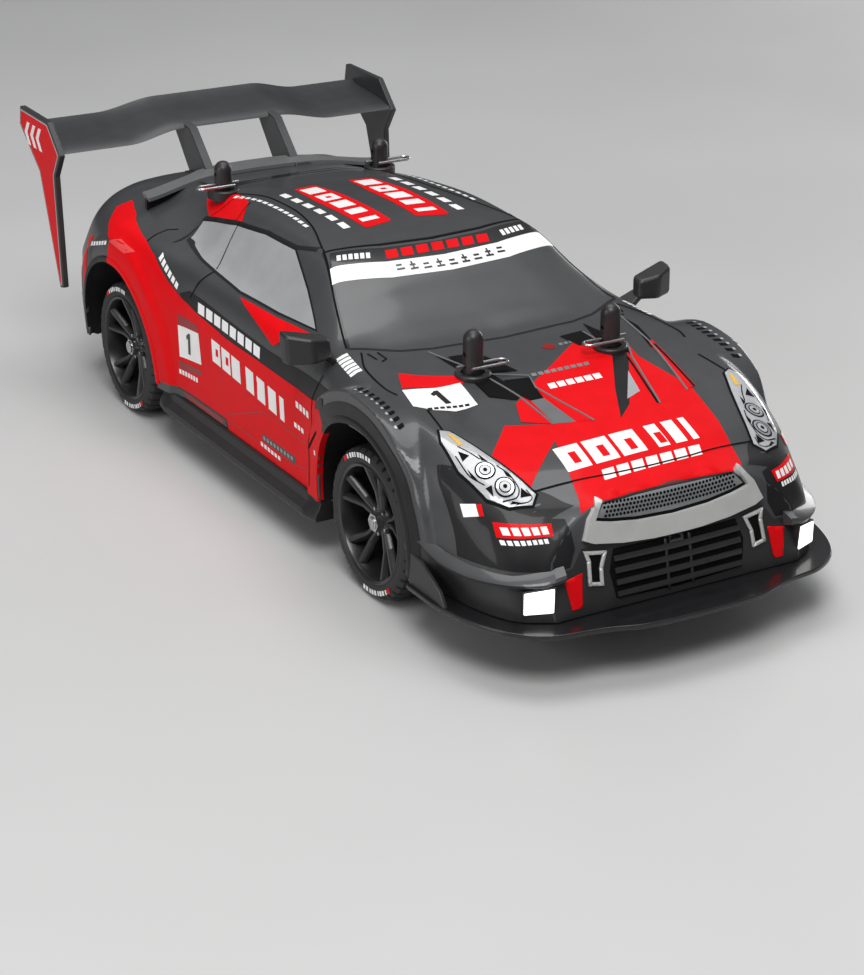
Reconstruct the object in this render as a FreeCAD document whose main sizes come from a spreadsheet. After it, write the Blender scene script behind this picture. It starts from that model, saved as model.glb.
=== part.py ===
import FreeCAD, Part
# A 1:16 radio control racing coupe: shell, glazing, wing, chassis, steering, suspension and rear drive.
# Frame: millimetres, +Z up, wheels on z = 0, the nose towards -Y, the driver's left towards +X.
# The origin is on the ground under the middle of the overall box.
import math
import os

import Sketcher  # noqa: F401  registers the sketch type

V = FreeCAD.Vector
X_AXIS, Y_AXIS, Z_AXIS = V(1, 0, 0), V(0, 1, 0), V(0, 0, 1)
PARTS = "parts"

# ---- driving dimensions, millimetres and degrees ----
DIMS = {
    "wheelbase": 172.0,
    "front_axle_y": -77.0,
    "overall_front": -163.0,
    "overall_rear": 163.0,
    "tyre_radius": 23.0,
    "tyre_width": 20.0,
    "rim_radius": 18.0,
    "wheel_x": 49.0,
    "pivot_x": 14.0,
    "kingpin_x": 42.0,
    "pin_radius": 1.0,
    "running_gap": 0.05,
    "steer_arm": 10.0,
    "plate_bottom": 9.5,
    "plate_thick": 2.5,
    "shell_wall": 1.3,
    "arch_radius": 30.0,
    "post_radius": 3.0,
    "front_post_x": 23.8,
    "rear_post_x": 29.8,
    "front_post_top": 76.3,
    "rear_post_top": 90.4,
    "spring_x": 26.0,
    "spring_radius": 3.4,
    "spring_wire": 0.6,
    "spring_foot": 24.3,
    "spring_head": 43.9,
    "gear_module": 0.6,
    "spur_teeth": 34.0,
    "pinion_teeth": 12.0,
    "motor_angle": 60.0,
    "motor_radius": 7.5,
    "wing_half_span": 64.4,
    "clip_wire": 0.5,
}

doc = FreeCAD.newDocument("rc_car")
sheet = doc.addObject("Spreadsheet::Sheet", "dims")
for row, (name, value) in enumerate(DIMS.items(), 1):
    sheet.set(f"A{row}", name)
    sheet.set(f"B{row}", str(value))
    sheet.setAlias(f"B{row}", name)
doc.recompute()

FRONT_Y = DIMS["front_axle_y"]
REAR_Y = FRONT_Y + DIMS["wheelbase"]
AXLE_Z = DIMS["tyre_radius"]
WHEEL_X = DIMS["wheel_x"]
PIVOT_X = DIMS["pivot_x"]
KING_X = DIMS["kingpin_x"]
PIN = DIMS["pin_radius"]
GAP = DIMS["running_gap"]
STEER = DIMS["steer_arm"]
PLATE_TOP = DIMS["plate_bottom"] + DIMS["plate_thick"]
TOWER_TOP = 46.2
DIRECTIONS = {"X": X_AXIS, "Y": Y_AXIS, "Z": Z_AXIS}


# ---- helpers ----
def bind(obj, prop, size):
    """Sets a property from a number, or binds it to the sheet."""
    if isinstance(size, str):
        words = size.split()
        obj.setExpression(prop, f"dims.{words[0]} " + " ".join(words[1:]))
    else:
        setattr(obj, prop, size)


def unique(name):
    return f"{name}_shape" if not doc.getObject(f"{name}_shape") else f"{name}_{len(doc.Objects)}"


def box(x_range, y_range, z_range, name="block"):
    """A Part::Box between two corners."""
    obj = doc.addObject("Part::Box", unique(name))
    obj.Length, obj.Width, obj.Height = (r[1] - r[0] for r in (x_range, y_range, z_range))
    obj.Placement.Base = V(x_range[0], y_range[0], z_range[0])
    return obj


def rod(radius, start, end, name="rod"):
    """A Part::Cylinder from start to end."""
    obj = doc.addObject("Part::Cylinder", unique(name))
    bind(obj, "Radius", radius)
    along = V(*end) - V(*start)
    obj.Height = along.Length
    obj.Placement = FreeCAD.Placement(V(*start), FreeCAD.Rotation(Z_AXIS, along))
    return obj


def ball(radius, centre, name="ball"):
    obj = doc.addObject("Part::Sphere", unique(name))
    bind(obj, "Radius", radius)
    obj.Placement.Base = V(*centre)
    return obj


def fuse(*objects, name="fused"):
    obj = doc.addObject("Part::MultiFuse", unique(name))
    obj.Shapes = list(objects)
    return obj


def cut(base, *tools, name="cut"):
    obj = doc.addObject("Part::Cut", unique(name))
    obj.Base = base
    obj.Tool = tools[0] if len(tools) == 1 else fuse(*tools)
    return obj


def common(one, two, name="common"):
    obj = doc.addObject("Part::Common", unique(name))
    obj.Base, obj.Tool = one, two
    return obj


def group(*objects, name="group"):
    obj = doc.addObject("Part::Compound", unique(name))
    obj.Links = list(objects)
    return obj


def feature(shape, name="feature"):
    obj = doc.addObject("Part::Feature", unique(name))
    obj.Shape = shape
    return obj


def mirrored(obj, name="mirror"):
    """The same piece on the other side of the car."""
    twin = doc.addObject("Part::Mirroring", unique(name))
    twin.Source = obj
    twin.Normal = X_AXIS
    return twin


def both(obj, name="pair"):
    return group(obj, mirrored(obj, name), name=name)


PLANES = {"XY": "XY_Plane", "XZ": "XZ_Plane", "YZ": "YZ_Plane"}


def pad(points, length, plane="XY", offset=0.0, name="pad", holes=()):
    """A PartDesign body: a closed outline with round holes, padded away from its origin plane.

    XY pads run up +Z, YZ pads along +X and XZ pads along -Y, each from the offset.
    """
    body = doc.addObject("PartDesign::Body", unique(name))
    sketch = body.newObject("Sketcher::SketchObject", f"{body.Name}_sketch")
    origin = next(o for o in body.Origin.OriginFeatures if o.Role == PLANES[plane])
    sketch.AttachmentSupport = (origin, [""])
    sketch.MapMode = "FlatFace"
    corners = [V(a, b, 0) for a, b in points]
    for start, end in zip(corners, corners[1:] + corners[:1]):
        sketch.addGeometry(Part.LineSegment(start, end))
    for a, b, radius in holes:
        sketch.addGeometry(Part.Circle(V(a, b, 0), Z_AXIS, radius))
    feature_pad = body.newObject("PartDesign::Pad", f"{body.Name}_pad")
    feature_pad.Profile = sketch
    bind(feature_pad, "Length", length)
    shift = {"XY": V(0, 0, offset), "YZ": V(offset, 0, 0), "XZ": V(0, offset, 0)}[plane]
    body.Placement.Base = shift
    return body


def both_sides(points):
    """A half outline on the +X side, with its mirror image."""
    return points + [(-x, y) for x, y in reversed(points) if abs(x) > 1e-6]


kept = {}


def keep(label, obj):
    obj.Label = label
    kept[label] = obj
    return obj


# ---- body shell ----
# Half sections from the centre line down to the sill: centre, inner line, roof or bonnet edge, window top,
# window bottom, shoulder, widest point, lower side and sill.
SECTIONS = [
    (-147, [
        (0, 43.5), (14, 43.3), (22, 42.5), (26, 41.5), (30, 40),
        (36, 37), (40, 31), (42, 24), (41, 18),
    ]),
    (-141, [
        (0, 47.5), (18, 47), (27, 46), (33, 45), (38, 43.5),
        (44, 40), (49.5, 32), (51, 24), (50, 18),
    ]),
    (-132, [
        (0, 50.8), (20, 50.4), (30, 49.6), (37, 48.6), (44, 47),
        (50.5, 42), (54.5, 33), (55.5, 25), (55, 18),
    ]),
    (-118, [
        (0, 54.5), (22, 54.2), (33, 53.8), (41, 53.6), (48, 52.5),
        (54.5, 48), (58, 37), (58.5, 26), (58, 18),
    ]),
    (-103, [
        (0, 57.8), (24, 57.6), (35, 57.3), (43, 58), (50, 58.3),
        (56.5, 54), (60.8, 42), (61.5, 28), (61, 18),
    ]),
    (-77, [
        (0, 62.3), (24, 62.4), (36, 61.6), (44, 61.8), (51.5, 61.8),
        (58, 58.5), (62, 50), (62.5, 34), (62, 18.5),
    ]),
    (-52, [
        (0, 63.5), (24, 64.2), (38, 63.9), (45, 64), (51, 63),
        (56, 58), (59.5, 46), (59.5, 30), (58.5, 18.5),
    ]),
    (-44, [
        (0, 66.8), (24, 66.9), (40, 65.6), (47, 64.6), (51, 63.3),
        (55, 58), (58, 44), (58, 28), (57.5, 18.5),
    ]),
    (-30, [
        (0, 73.8), (22, 73.6), (38, 71.9), (43, 70.5), (49.5, 64.6),
        (54, 59), (57, 44), (57, 28), (57, 18.5),
    ]),
    (-10, [
        (0, 82.9), (20, 82.9), (34.5, 82), (37.5, 80.4), (49, 65.2),
        (54, 59.5), (57, 44), (57, 28), (57, 18.5),
    ]),
    (20, [
        (0, 85), (19, 84.9), (33.5, 83.6), (38, 80.6), (48.5, 66),
        (54, 60.5), (57, 44), (57, 28), (57, 18.5),
    ]),
    (45, [
        (0, 84.3), (18, 84.1), (32.5, 82.6), (38, 78.5), (48.5, 66.8),
        (54.5, 62), (57.5, 46), (57.5, 29), (57, 18.5),
    ]),
    (72, [
        (0, 81.2), (17, 81), (31, 79.5), (38.5, 72.5), (47.5, 67.8),
        (56.5, 65), (61, 50), (61, 32), (60, 18.5),
    ]),
    (95, [
        (0, 77), (17, 76.9), (30, 75.8), (39, 70.5), (49, 68),
        (57.5, 65), (62.5, 52), (63, 36), (62, 18.5),
    ]),
    (112, [
        (0, 74), (18, 73.9), (31, 73), (41, 70), (50, 67),
        (57, 62), (61.5, 50), (62, 36), (61, 18.5),
    ]),
    (128, [
        (0, 72), (20, 72), (34, 71.2), (43, 69), (50, 65),
        (55.5, 58), (58.5, 48), (59, 36), (58, 19),
    ]),
    (134, [
        (0, 66), (20, 66), (34, 65.3), (42, 63.5), (48.5, 60),
        (53.5, 54), (57, 46), (57, 35), (56, 19),
    ]),
    (141, [
        (0, 57), (20, 57), (32, 56.5), (40, 55.5), (46, 53.5),
        (51, 49), (54, 42), (54, 33), (53, 19.5),
    ]),
    (150, [
        (0, 48), (18, 48), (28, 47.6), (35, 46.8), (41, 45),
        (45, 42), (48, 37), (48, 30), (47, 20),
    ]),
]
END_WALL = 1.6
SKIRT_DEPTH = 8.0


def blend_rows(y):
    """The half section at any station, between its two neighbours."""
    for (y0, low), (y1, high) in zip(SECTIONS, SECTIONS[1:]):
        if y0 <= y <= y1:
            share = (y - y0) / (y1 - y0)
            return [(a + (c - a) * share, b + (d - b) * share) for (a, b), (c, d) in zip(low, high)]
    raise ValueError(y)


def inset(points, wall):
    """Moves a half section inwards by the wall, and its sill down to open the shell's underside."""
    moved = []
    for i, (x, z) in enumerate(points[:-1]):
        before = points[i - 1] if i else (-points[1][0], points[1][1])
        after = points[i + 1]
        run, rise = after[0] - before[0], after[1] - before[1]
        length = math.hypot(run, rise)
        moved.append((x + wall * rise / length, z - wall * run / length))
    moved[0] = (0.0, points[0][1] - wall)
    x, z = points[-1]
    return moved + [(x - wall, z - SKIRT_DEPTH)]


def ring(y, points):
    """A closed section wire across the whole car."""
    outline = [V(x, y, z) for x, z in points] + [V(-x, y, z) for x, z in reversed(points[1:])]
    return Part.makePolygon(outline + outline[:1])


def loft(rows):
    return Part.makeLoft([ring(y, points) for y, points in rows], True, True)


outer_body = loft(SECTIONS)
first, last = SECTIONS[0][0] + END_WALL, SECTIONS[-1][0] - END_WALL
inner_rows = [(first, blend_rows(first))] + SECTIONS[1:-1] + [(last, blend_rows(last))]
inner_body = loft([(y, inset(points, DIMS["shell_wall"])) for y, points in inner_rows])
skin = feature(outer_body.cut(inner_body), "skin")
arches = [
    rod("arch_radius", (-70, y, AXLE_Z + 1), (70, y, AXLE_Z + 1), "arch") for y in (FRONT_Y, REAR_Y)
]
post_spots = [("front_post_x", FRONT_Y, "front_post_top"), ("rear_post_x", 73.8, "rear_post_top")]
post_holes = [
    rod("post_radius + 0.4", (s * DIMS[x], y, 55), (s * DIMS[x], y, 95), "post_hole")
    for x, y, _ in post_spots
    for s in (-1, 1)
]


def window(points, depth_range, plane, name):
    """A prism that takes a window out of the skin."""
    low, high = depth_range
    offset = high if plane == "XZ" else low
    return pad(points, high - low, plane, offset, name)


WINDSCREEN = both_sides([(0, -51), (24, -48), (43.5, -41), (34, -11), (0, -9.5)])
REAR_WINDOW = both_sides([(0, 77), (27, 76), (26, 104), (0, 107)])
SIDE_WINDOW = [(-23, 67), (0, 78.6), (30, 79.2), (46, 77), (65, 73), (71, 69.6), (45, 68.2), (10, 67.2)]
HEADLIGHT = [(49.3, -101), (46.6, -104), (36, -130), (41, -134.5), (49.5, -129), (53.5, -118)]
FOG = [(41, -148.2), (49, -144.4), (49, -142), (41, -145.8)]
TAIL_SPOTS = [(20.5, 53.5, 5.0), (33.5, 52.0, 5.0)]

tools = {
    "windscreen": window(WINDSCREEN, (55, 90), "XY", "windscreen"),
    "rear_window": window(REAR_WINDOW, (60, 90), "XY", "rear_window"),
    "side_windows": window(SIDE_WINDOW, (-60, 60), "YZ", "side_windows"),
}
headlight_tool = window(HEADLIGHT, (36, 66), "XY", "headlight")
tools["headlights"] = both(headlight_tool, "headlights")
tail = [rod(r, (x, 125, z), (x, 152, z), "tail") for x, z, r in TAIL_SPOTS]
tools["tail_lights"] = group(*tail, *[mirrored(t) for t in tail], name="tail_lights")
fog_tool = pad(FOG, 7.2, "XY", 20.4, "fog")
lower_mouth = box((-26, 26), (-150, -140), (19.5, 32.0), "mouth")
upper_mouth = box((-20, 20), (-150, -145.3), (38.6, 42.4), "mouth")
mirror_root = rod(1.1, (50.5, -46, 60.5), (58.5, -47, 66), "mirror_root")
clear = [
    *arches, *post_holes, *tools.values(), fog_tool, mirrored(fog_tool), lower_mouth, upper_mouth,
    mirror_root, mirrored(mirror_root),
]
keep("body_shell", cut(skin, *clear, name="body_shell"))
for label, tool in tools.items():
    keep(label, common(skin, tool, name=label))
keep("fog_lamps", both(pad(FOG, 7.0, "XY", 20.5, "fog_lamp"), "fog_lamps"))

# ---- front trim ----
SURROUND = [(0, 32), (14, 33), (30, 37), (22, 46), (20.5, 44.5), (24.5, 40.5), (13, 38.6), (0, 38)]
keep("grille_surround", pad(both_sides(SURROUND), 2.4, "XZ", -147.0, "surround"))
lower_panel = box((-25.9, 25.9), (-146.9, -144.9), (19.6, 31.9), "lower_panel")
slots = [
    box((x, x + 23.4), (-147.5, -144), (z, z + 1.6), "slot") for x in (-24.6, 1.2) for z in (21, 24, 27, 30)
]
upper_panel = box((-19.9, 19.9), (-146.9, -145.5), (38.7, 42.3), "upper_panel")
keep("grille_insert", group(cut(lower_panel, *slots, name="lower"), upper_panel, name="grille_insert"))
SPLITTER = [
    (0, -163), (20, -162), (36, -158.5), (50, -152), (57, -144), (62.5, -128), (64, -112), (58.5, -110),
    (50, -122), (40, -133), (0, -139),
]
keep("front_splitter", pad(both_sides(SPLITTER), 1.6, "XY", 16.2, "splitter"))

# ---- side and rear trim ----
mirror_shell = doc.addObject("Part::Ellipsoid", "mirror_shell")
mirror_shell.Radius1, mirror_shell.Radius2, mirror_shell.Radius3 = 3.9, 7.0, 4.4
mirror_shell.Placement.Base = V(61.6, -46, 68)
mirror_shape = fuse(mirror_shell, rod(1.1, (50.5, -46, 60.5), (58.5, -47, 66), "stalk"), name="mirror")
keep("wing_mirrors", both(cut(mirror_shape, feature(inner_body, "cabin"), name="mirror_cut"), "wing_mirrors"))
SKIRT = [(53.5, 12), (60.5, 12), (60.5, 14.5), (58.2, 18.3), (53.5, 18.3)]
skirt = pad([(x, z) for x, z in SKIRT], 108, "XZ", 62, "skirt")
keep("side_skirts", both(skirt, "side_skirts"))
floor_plate = box((-45, 45), (121, 151), (16.6, 18.2), "diffuser")
fins = [box((x - 0.8, x + 0.8), (126, 152), (11.5, 16.6), "fin") for x in (-36, -18, 0, 18, 36)]
keep("rear_diffuser", fuse(floor_plate, *fins, name="rear_diffuser"))

# ---- rear wing ----
AIRFOIL = [(126, 0), (132, 2.6), (141, 4.0), (150, 4.6), (150, 3.8), (140, 2.2), (132, 0.2)]
GULL = [(-64.4, 85.6), (-38, 85.8), (-22, 88.2), (22, 88.2), (38, 85.8), (64.4, 85.6)]


def foil(x, base):
    points = [V(x, y, base + z) for y, z in AIRFOIL]
    return Part.makePolygon(points + points[:1])


keep("wing_plane", feature(Part.makeLoft([foil(x, z) for x, z in GULL], True, True), "wing_plane"))
ENDPLATE = [
    (161.5, 94.3), (136.4, 94.1), (126.4, 84.1), (132.1, 75.5), (130.0, 35.8), (132.8, 35.0), (146.4, 74.0),
    (163.0, 87.5),
]
endplate = pad(ENDPLATE, 2.4, "YZ", DIMS["wing_half_span"], "endplate")
keep("wing_endplates", both(endplate, "wing_endplates"))
STAY = [(110, 70), (126, 69), (137, 88.6), (127.5, 88.1)]
stay = cut(pad(STAY, 2.2, "YZ", 15.2, "stay"), kept["wing_plane"], feature(outer_body, "deck"), name="stay")
keep("wing_stays", both(stay, "wing_stays"))

# ---- chassis plate ----
PLATE = [
    (14, -126), (22, -118), (22, -52), (33, -44), (34, 66),
    (34, 78), (22, 84), (22, 112), (16, 120), (0, 120),
]
SCREWS = [(8, FRONT_Y - 6.5), (8, FRONT_Y + 6.5), (13, REAR_Y - 12), (13, REAR_Y + 12)]
screw_spots = [(s * x, y) for x, y in SCREWS for s in (-1, 1)]
holes = [(x, y, 1.3) for x, y in screw_spots]
plate = pad(both_sides([(0, -126)] + PLATE), "plate_thick", "XY", DIMS["plate_bottom"], "plate", holes)
gear_slot = box((1.6, 8.8), (REAR_Y - 7, REAR_Y + 7), (8, 13), "gear_slot")
switch_slot = box((15.4, 18.6), (-24.5, -15.5), (8, 13), "switch_slot")
keep("chassis_plate", cut(plate, gear_slot, switch_slot, name="chassis_plate"))
screws = [
    fuse(rod(1.2, (x, y, 9.5), (x, y, 17)), rod(2.2, (x, y, 8.5), (x, y, 9.5)), name="screw")
    for x, y in screw_spots
]
keep("chassis_screws", group(*screws, name="chassis_screws"))
knob = fuse(
    box((15.6, 18.4), (-22.9, -20.1), (8.4, 13.4), "knob"),
    box((14.4, 19.6), (-23.4, -19.6), (12.1, 13.4), "knob"),
)
keep("power_switch", knob)


# ---- bulkheads: they carry the arm pins, the spring seats and the body posts ----
def screw_holes(y_list, x):
    return [rod(1.2, (s * x, y, 11), (s * x, y, 17.2), "pilot") for y in y_list for s in (-1, 1)]


def pin_holes(y_centre, reach):
    return [
        rod("pin_radius", (s * PIVOT_X, y_centre - reach, AXLE_Z), (s * PIVOT_X, y_centre + reach, AXLE_Z), "pin")
        for s in (-1, 1)
    ]


EAR = (5.7, 7.4)
front_parts = [
    box((-10, 10), (FRONT_Y - 8, FRONT_Y + 8), (PLATE_TOP, 19.5), "base"),
    box((-7, 7), (FRONT_Y - 2.8, FRONT_Y + 2.8), (19.5, TOWER_TOP), "web"),
    box((-30, 30), (FRONT_Y - 5, FRONT_Y + 5), (44, TOWER_TOP), "seat"),
]
for near, far in (EAR, (-EAR[1], -EAR[0])):
    front_parts.append(
        box((-17.5, 17.5), (FRONT_Y + near, FRONT_Y + far), (PLATE_TOP, 24.7), "ear")
    )
keep(
    "front_bulkhead",
    cut(
        fuse(*front_parts, name="front_block"),
        *pin_holes(FRONT_Y, 9),
        *screw_holes([FRONT_Y - 6.5, FRONT_Y + 6.5], 8),
        name="front_bulkhead",
    ),
)
REAR_EAR = (10.8, 13.2)
rear_parts = [
    box((-30, 30), (REAR_Y - 4.5, REAR_Y + 13.2), (44, TOWER_TOP), "seat"),
    box((-12, 12), (REAR_Y + 10.8, REAR_Y + 13.2), (20, 44), "web"),
    box((-17.5, 17.5), (REAR_Y + REAR_EAR[0], REAR_Y + REAR_EAR[1]), (PLATE_TOP, 25.8), "ear"),
]
front_ear = box((-17.5, 17.5), (REAR_Y - REAR_EAR[1], REAR_Y - REAR_EAR[0]), (PLATE_TOP, 25.8), "ear")
rails = [
    box((s * 12.5 - 2, s * 12.5 + 2), (REAR_Y - 13.2, REAR_Y + 13.2), (PLATE_TOP, 17.5), "rail")
    for s in (-1, 1)
]
keep(
    "rear_bulkhead",
    cut(
        fuse(*rear_parts, front_ear, *rails, name="rear_block"), *pin_holes(REAR_Y, 15),
        *screw_holes([REAR_Y - 12, REAR_Y + 12], 13), name="rear_bulkhead",
    ),
)
pins = [
    rod("pin_radius", (s * PIVOT_X, FRONT_Y - 7.4, AXLE_Z), (s * PIVOT_X, FRONT_Y + 7.4, AXLE_Z), "pin")
    for s in (-1, 1)
] + [
    rod("pin_radius", (s * PIVOT_X, REAR_Y + a, AXLE_Z), (s * PIVOT_X, REAR_Y + b, AXLE_Z), "pin")
    for s in (-1, 1)
    for a, b in ((-13.2, -7.2), (7.2, 13.2))
]
keep("hinge_pins", group(*pins, name="hinge_pins"))


# ---- body posts and clips ----
CLIP_Z = {"front_post_x": 65.6, "rear_post_x": 82.6}
SHELL_REST = {"front_post_x": 59.8, "rear_post_x": 74.0}


def post(x_name, y, top_name, side):
    """A round-topped post with three clip holes."""
    x = side * DIMS[x_name]
    foot = TOWER_TOP if x_name == "front_post_x" else PLATE_TOP
    top = DIMS[top_name]
    rest = SHELL_REST[x_name]
    column = fuse(
        rod("post_radius", (x, y, foot), (x, y, top - 3), "column"),
        ball("post_radius", (x, y, top - 3), "cap"),
        rod("post_radius + 1.2", (x, y, rest - 2), (x, y, rest), "shell_rest"),
    )
    clip_holes = [
        rod("clip_wire + 0.3", (x - 4, y, z), (x + 4, y, z), "clip_hole")
        for z in (CLIP_Z[x_name], CLIP_Z[x_name] + 3.4, CLIP_Z[x_name] - 3.4)
    ]
    return cut(column, *clip_holes, name="post")


posts = [post(*spot, side) for spot in post_spots for side in (-1, 1)]
keep("body_posts", group(*posts, name="body_posts"))


def clip(x_name, y, way):
    """A sprung wire clip: a straight leg through the post, a loop, and a return leg beside the post."""
    x = DIMS[x_name]
    z = CLIP_Z[x_name]
    r = DIMS["clip_wire"]
    leg_end, loop_x, side_y = x - way * 5.5, x + way * 8.5, 3.6
    leg = Part.makeLine(V(leg_end, y, z), V(loop_x, y, z))
    turn = Part.Arc(V(loop_x, y, z), V(loop_x + way * side_y / 2, y - side_y / 2, z), V(loop_x, y - side_y, z))
    back = Part.makeLine(V(loop_x, y - side_y, z), V(x - way * 2.5, y - side_y, z))
    path = Part.Wire([leg, turn.toShape(), back])
    disc = Part.Wire([Part.makeCircle(r, V(leg_end, y, z), X_AXIS)])
    return feature(path.makePipeShell([disc], True, False), "clip")


for label, spot, side, way in (
    ("body_clip_front_left", 0, 1, -1), ("body_clip_front_right", 0, -1, -1),
    ("body_clip_rear_left", 1, 1, 1), ("body_clip_rear_right", 1, -1, 1),
):
    made = clip(post_spots[spot][0], post_spots[spot][1], way)
    keep(label, made if side == 1 else mirrored(made))


# ---- front suspension and steering (built on the left, mirrored to the right) ----
def front_arm():
    """Swing arm: boss on the hinge pin, flat blade, and a fork that holds the kingpin."""
    y, z = FRONT_Y, AXLE_Z
    solid = fuse(
        rod(2.4, (PIVOT_X, y - 5.5, z), (PIVOT_X, y + 5.5, z), "boss"),
        box((PIVOT_X, 36), (y - 5.5, y + 5.5), (21, 24), "blade"),
        box((34.6, 36.6), (y - 4, y + 4), (15.8, 30.2), "fork"),
        box((35.6, KING_X), (y - 3, y + 3), (28.2, 30.2), "fork_top"),
        box((35.6, KING_X), (y - 3, y + 3), (15.8, 17.8), "fork_foot"),
        rod(3, (KING_X, y, 28.2), (KING_X, y, 30.2), "eye"),
        rod(3, (KING_X, y, 15.8), (KING_X, y, 17.8), "eye"),
        name="front_arm",
    )
    pin = rod("pin_radius + 0.05", (PIVOT_X, y - 6, z), (PIVOT_X, y + 6, z), "bore")
    king = rod("pin_radius", (KING_X, y, 14), (KING_X, y, 32), "bore")
    kingpin = rod("pin_radius", (KING_X, y, 15.2), (KING_X, y, 30.8), "kingpin")
    return fuse(cut(solid, pin, king, name="arm"), kingpin)


def knuckle():
    """Steering knuckle: a barrel on the kingpin, a boss for the stub axle and a steering arm to the rear."""
    y, z = FRONT_Y, AXLE_Z
    solid = fuse(
        rod(3, (KING_X, y, 18), (KING_X, y, 28), "barrel"),
        rod(3.4, (KING_X + 1.5, y, z), (KING_X + 5, y, z), "axle_boss"),
        box((KING_X - 2, KING_X + 2), (y + 1, y + STEER), (24.6, 27.4), "steer_arm"),
        rod(2.2, (KING_X, y + STEER, 24.6), (KING_X, y + STEER, 27.4), "steer_end"),
        rod("pin_radius", (KING_X, y + STEER, 21), (KING_X, y + STEER, 24.6), "steer_pin"),
        name="knuckle",
    )
    king = rod("pin_radius + 0.05", (KING_X, y, 17), (KING_X, y, 29), "bore")
    axle = rod(1.5, (KING_X + 1.6, y, z), (KING_X + 6, y, z), "axle_seat")
    return cut(solid, king, axle, name="knuckle")


def stub_axle():
    """Front axle: a fixed steel pin with a lock nut outside the wheel."""
    y, z = FRONT_Y, AXLE_Z
    pin = rod(1.5, (KING_X + 1.6, y, z), (57.6, y, z), "stub")
    return fuse(lock_nut(55.0, y), pin, name="stub_axle")


def lock_nut(x, y):
    """A hexagonal lock nut on an axle along X."""
    across = 2.9
    corners = [
        (y + across * math.cos(math.radians(60 * i)), AXLE_Z + across * math.sin(math.radians(60 * i)))
        for i in range(6)
    ]
    return pad(corners, 2.0, "YZ", x, "lock_nut")


def slot(x, y):
    """A fore-and-aft slot for a steering pin: the pin moves forward a little as its arm turns."""
    width = PIN + 0.12
    return fuse(
        rod(width, (x, y, 20), (x, y, 29), "slot_end"),
        rod(width, (x, y - 0.8, 20), (x, y - 0.8, 29), "slot_end"),
        box((x - width, x + width), (y - 0.8, y), (20, 29), "slot_run"), name="slot",
    )


def tie_rod():
    y, z = FRONT_Y + STEER, AXLE_Z
    solid = fuse(
        rod(1.1, (PIVOT_X + 1.6, y, z), (KING_X - 1.6, y, z), "rod"),
        rod(2.3, (PIVOT_X, y, 21.8), (PIVOT_X, y, 24.2), "inner_eye"),
        rod(2.2, (KING_X, y, 21.8), (KING_X, y, 24.2), "outer_eye"),
        rod(2.2, (KING_X, y - 0.8, 21.8), (KING_X, y - 0.8, 24.2), "outer_eye"),
        name="tie_rod",
    )
    inner = rod(1.35, (PIVOT_X, y, 20), (PIVOT_X, y, 26), "eye_bore")
    outer = slot(KING_X, y)
    return cut(solid, inner, outer, name="tie_rod")


left = {
    "front_arm": front_arm(), "steering_knuckle": knuckle(), "front_axle": stub_axle(), "tie_rod": tie_rod(),
}
for label, obj in left.items():
    keep(f"{label}_left", obj)
    keep(f"{label}_right", mirrored(obj))

HORN_Y = FRONT_Y + 20
servo_case = box((-11, 11), (FRONT_Y + 13.2, FRONT_Y + 37), (PLATE_TOP, 21.4), "servo")
servo_shaft = rod(2.4, (0, HORN_Y, 21.4), (0, HORN_Y, 24.8), "servo_shaft")
keep("steering_servo", fuse(servo_case, servo_shaft, name="steering_servo"))
horn = fuse(
    rod(4.2, (0, HORN_Y, 22), (0, HORN_Y, 24.8), "hub"),
    box((-1.8, 1.8), (HORN_Y, HORN_Y + STEER), (22.6, 24.8), "horn_arm"),
    rod(1.8, (0, HORN_Y + STEER, 22.6), (0, HORN_Y + STEER, 24.8), "horn_end"),
    rod("pin_radius", (0, HORN_Y + STEER, 24.8), (0, HORN_Y + STEER, 27.4), "horn_pin"),
    name="horn",
)
keep("servo_horn", cut(horn, rod(2.45, (0, HORN_Y, 21), (0, HORN_Y, 26), "bore"), name="servo_horn"))
LINK_Y = FRONT_Y + STEER
link = fuse(
    box((-16.4, 16.4), (LINK_Y - 2.2, LINK_Y + 2.2), (25, 27), "bar"),
    box((-2.4, 2.4), (LINK_Y, LINK_Y + 22.4), (25, 27), "tail"),
    rod("pin_radius", (PIVOT_X, LINK_Y, 21.4), (PIVOT_X, LINK_Y, 25), "link_pin"),
    rod("pin_radius", (-PIVOT_X, LINK_Y, 21.4), (-PIVOT_X, LINK_Y, 25), "link_pin"),
    name="link",
)
keep("steering_link", cut(link, slot(0, LINK_Y + 20), name="steering_link"))


# ---- rear suspension and drive ----
def revolve(points, y):
    """Turns a closed half profile of (x, radius) points about the wheel's axle."""
    wire = Part.makePolygon([V(x, y, AXLE_Z + r) for x, r in points + points[:1]])
    return Part.Face(wire).revolve(V(0, y, AXLE_Z), X_AXIS, 360)


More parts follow.
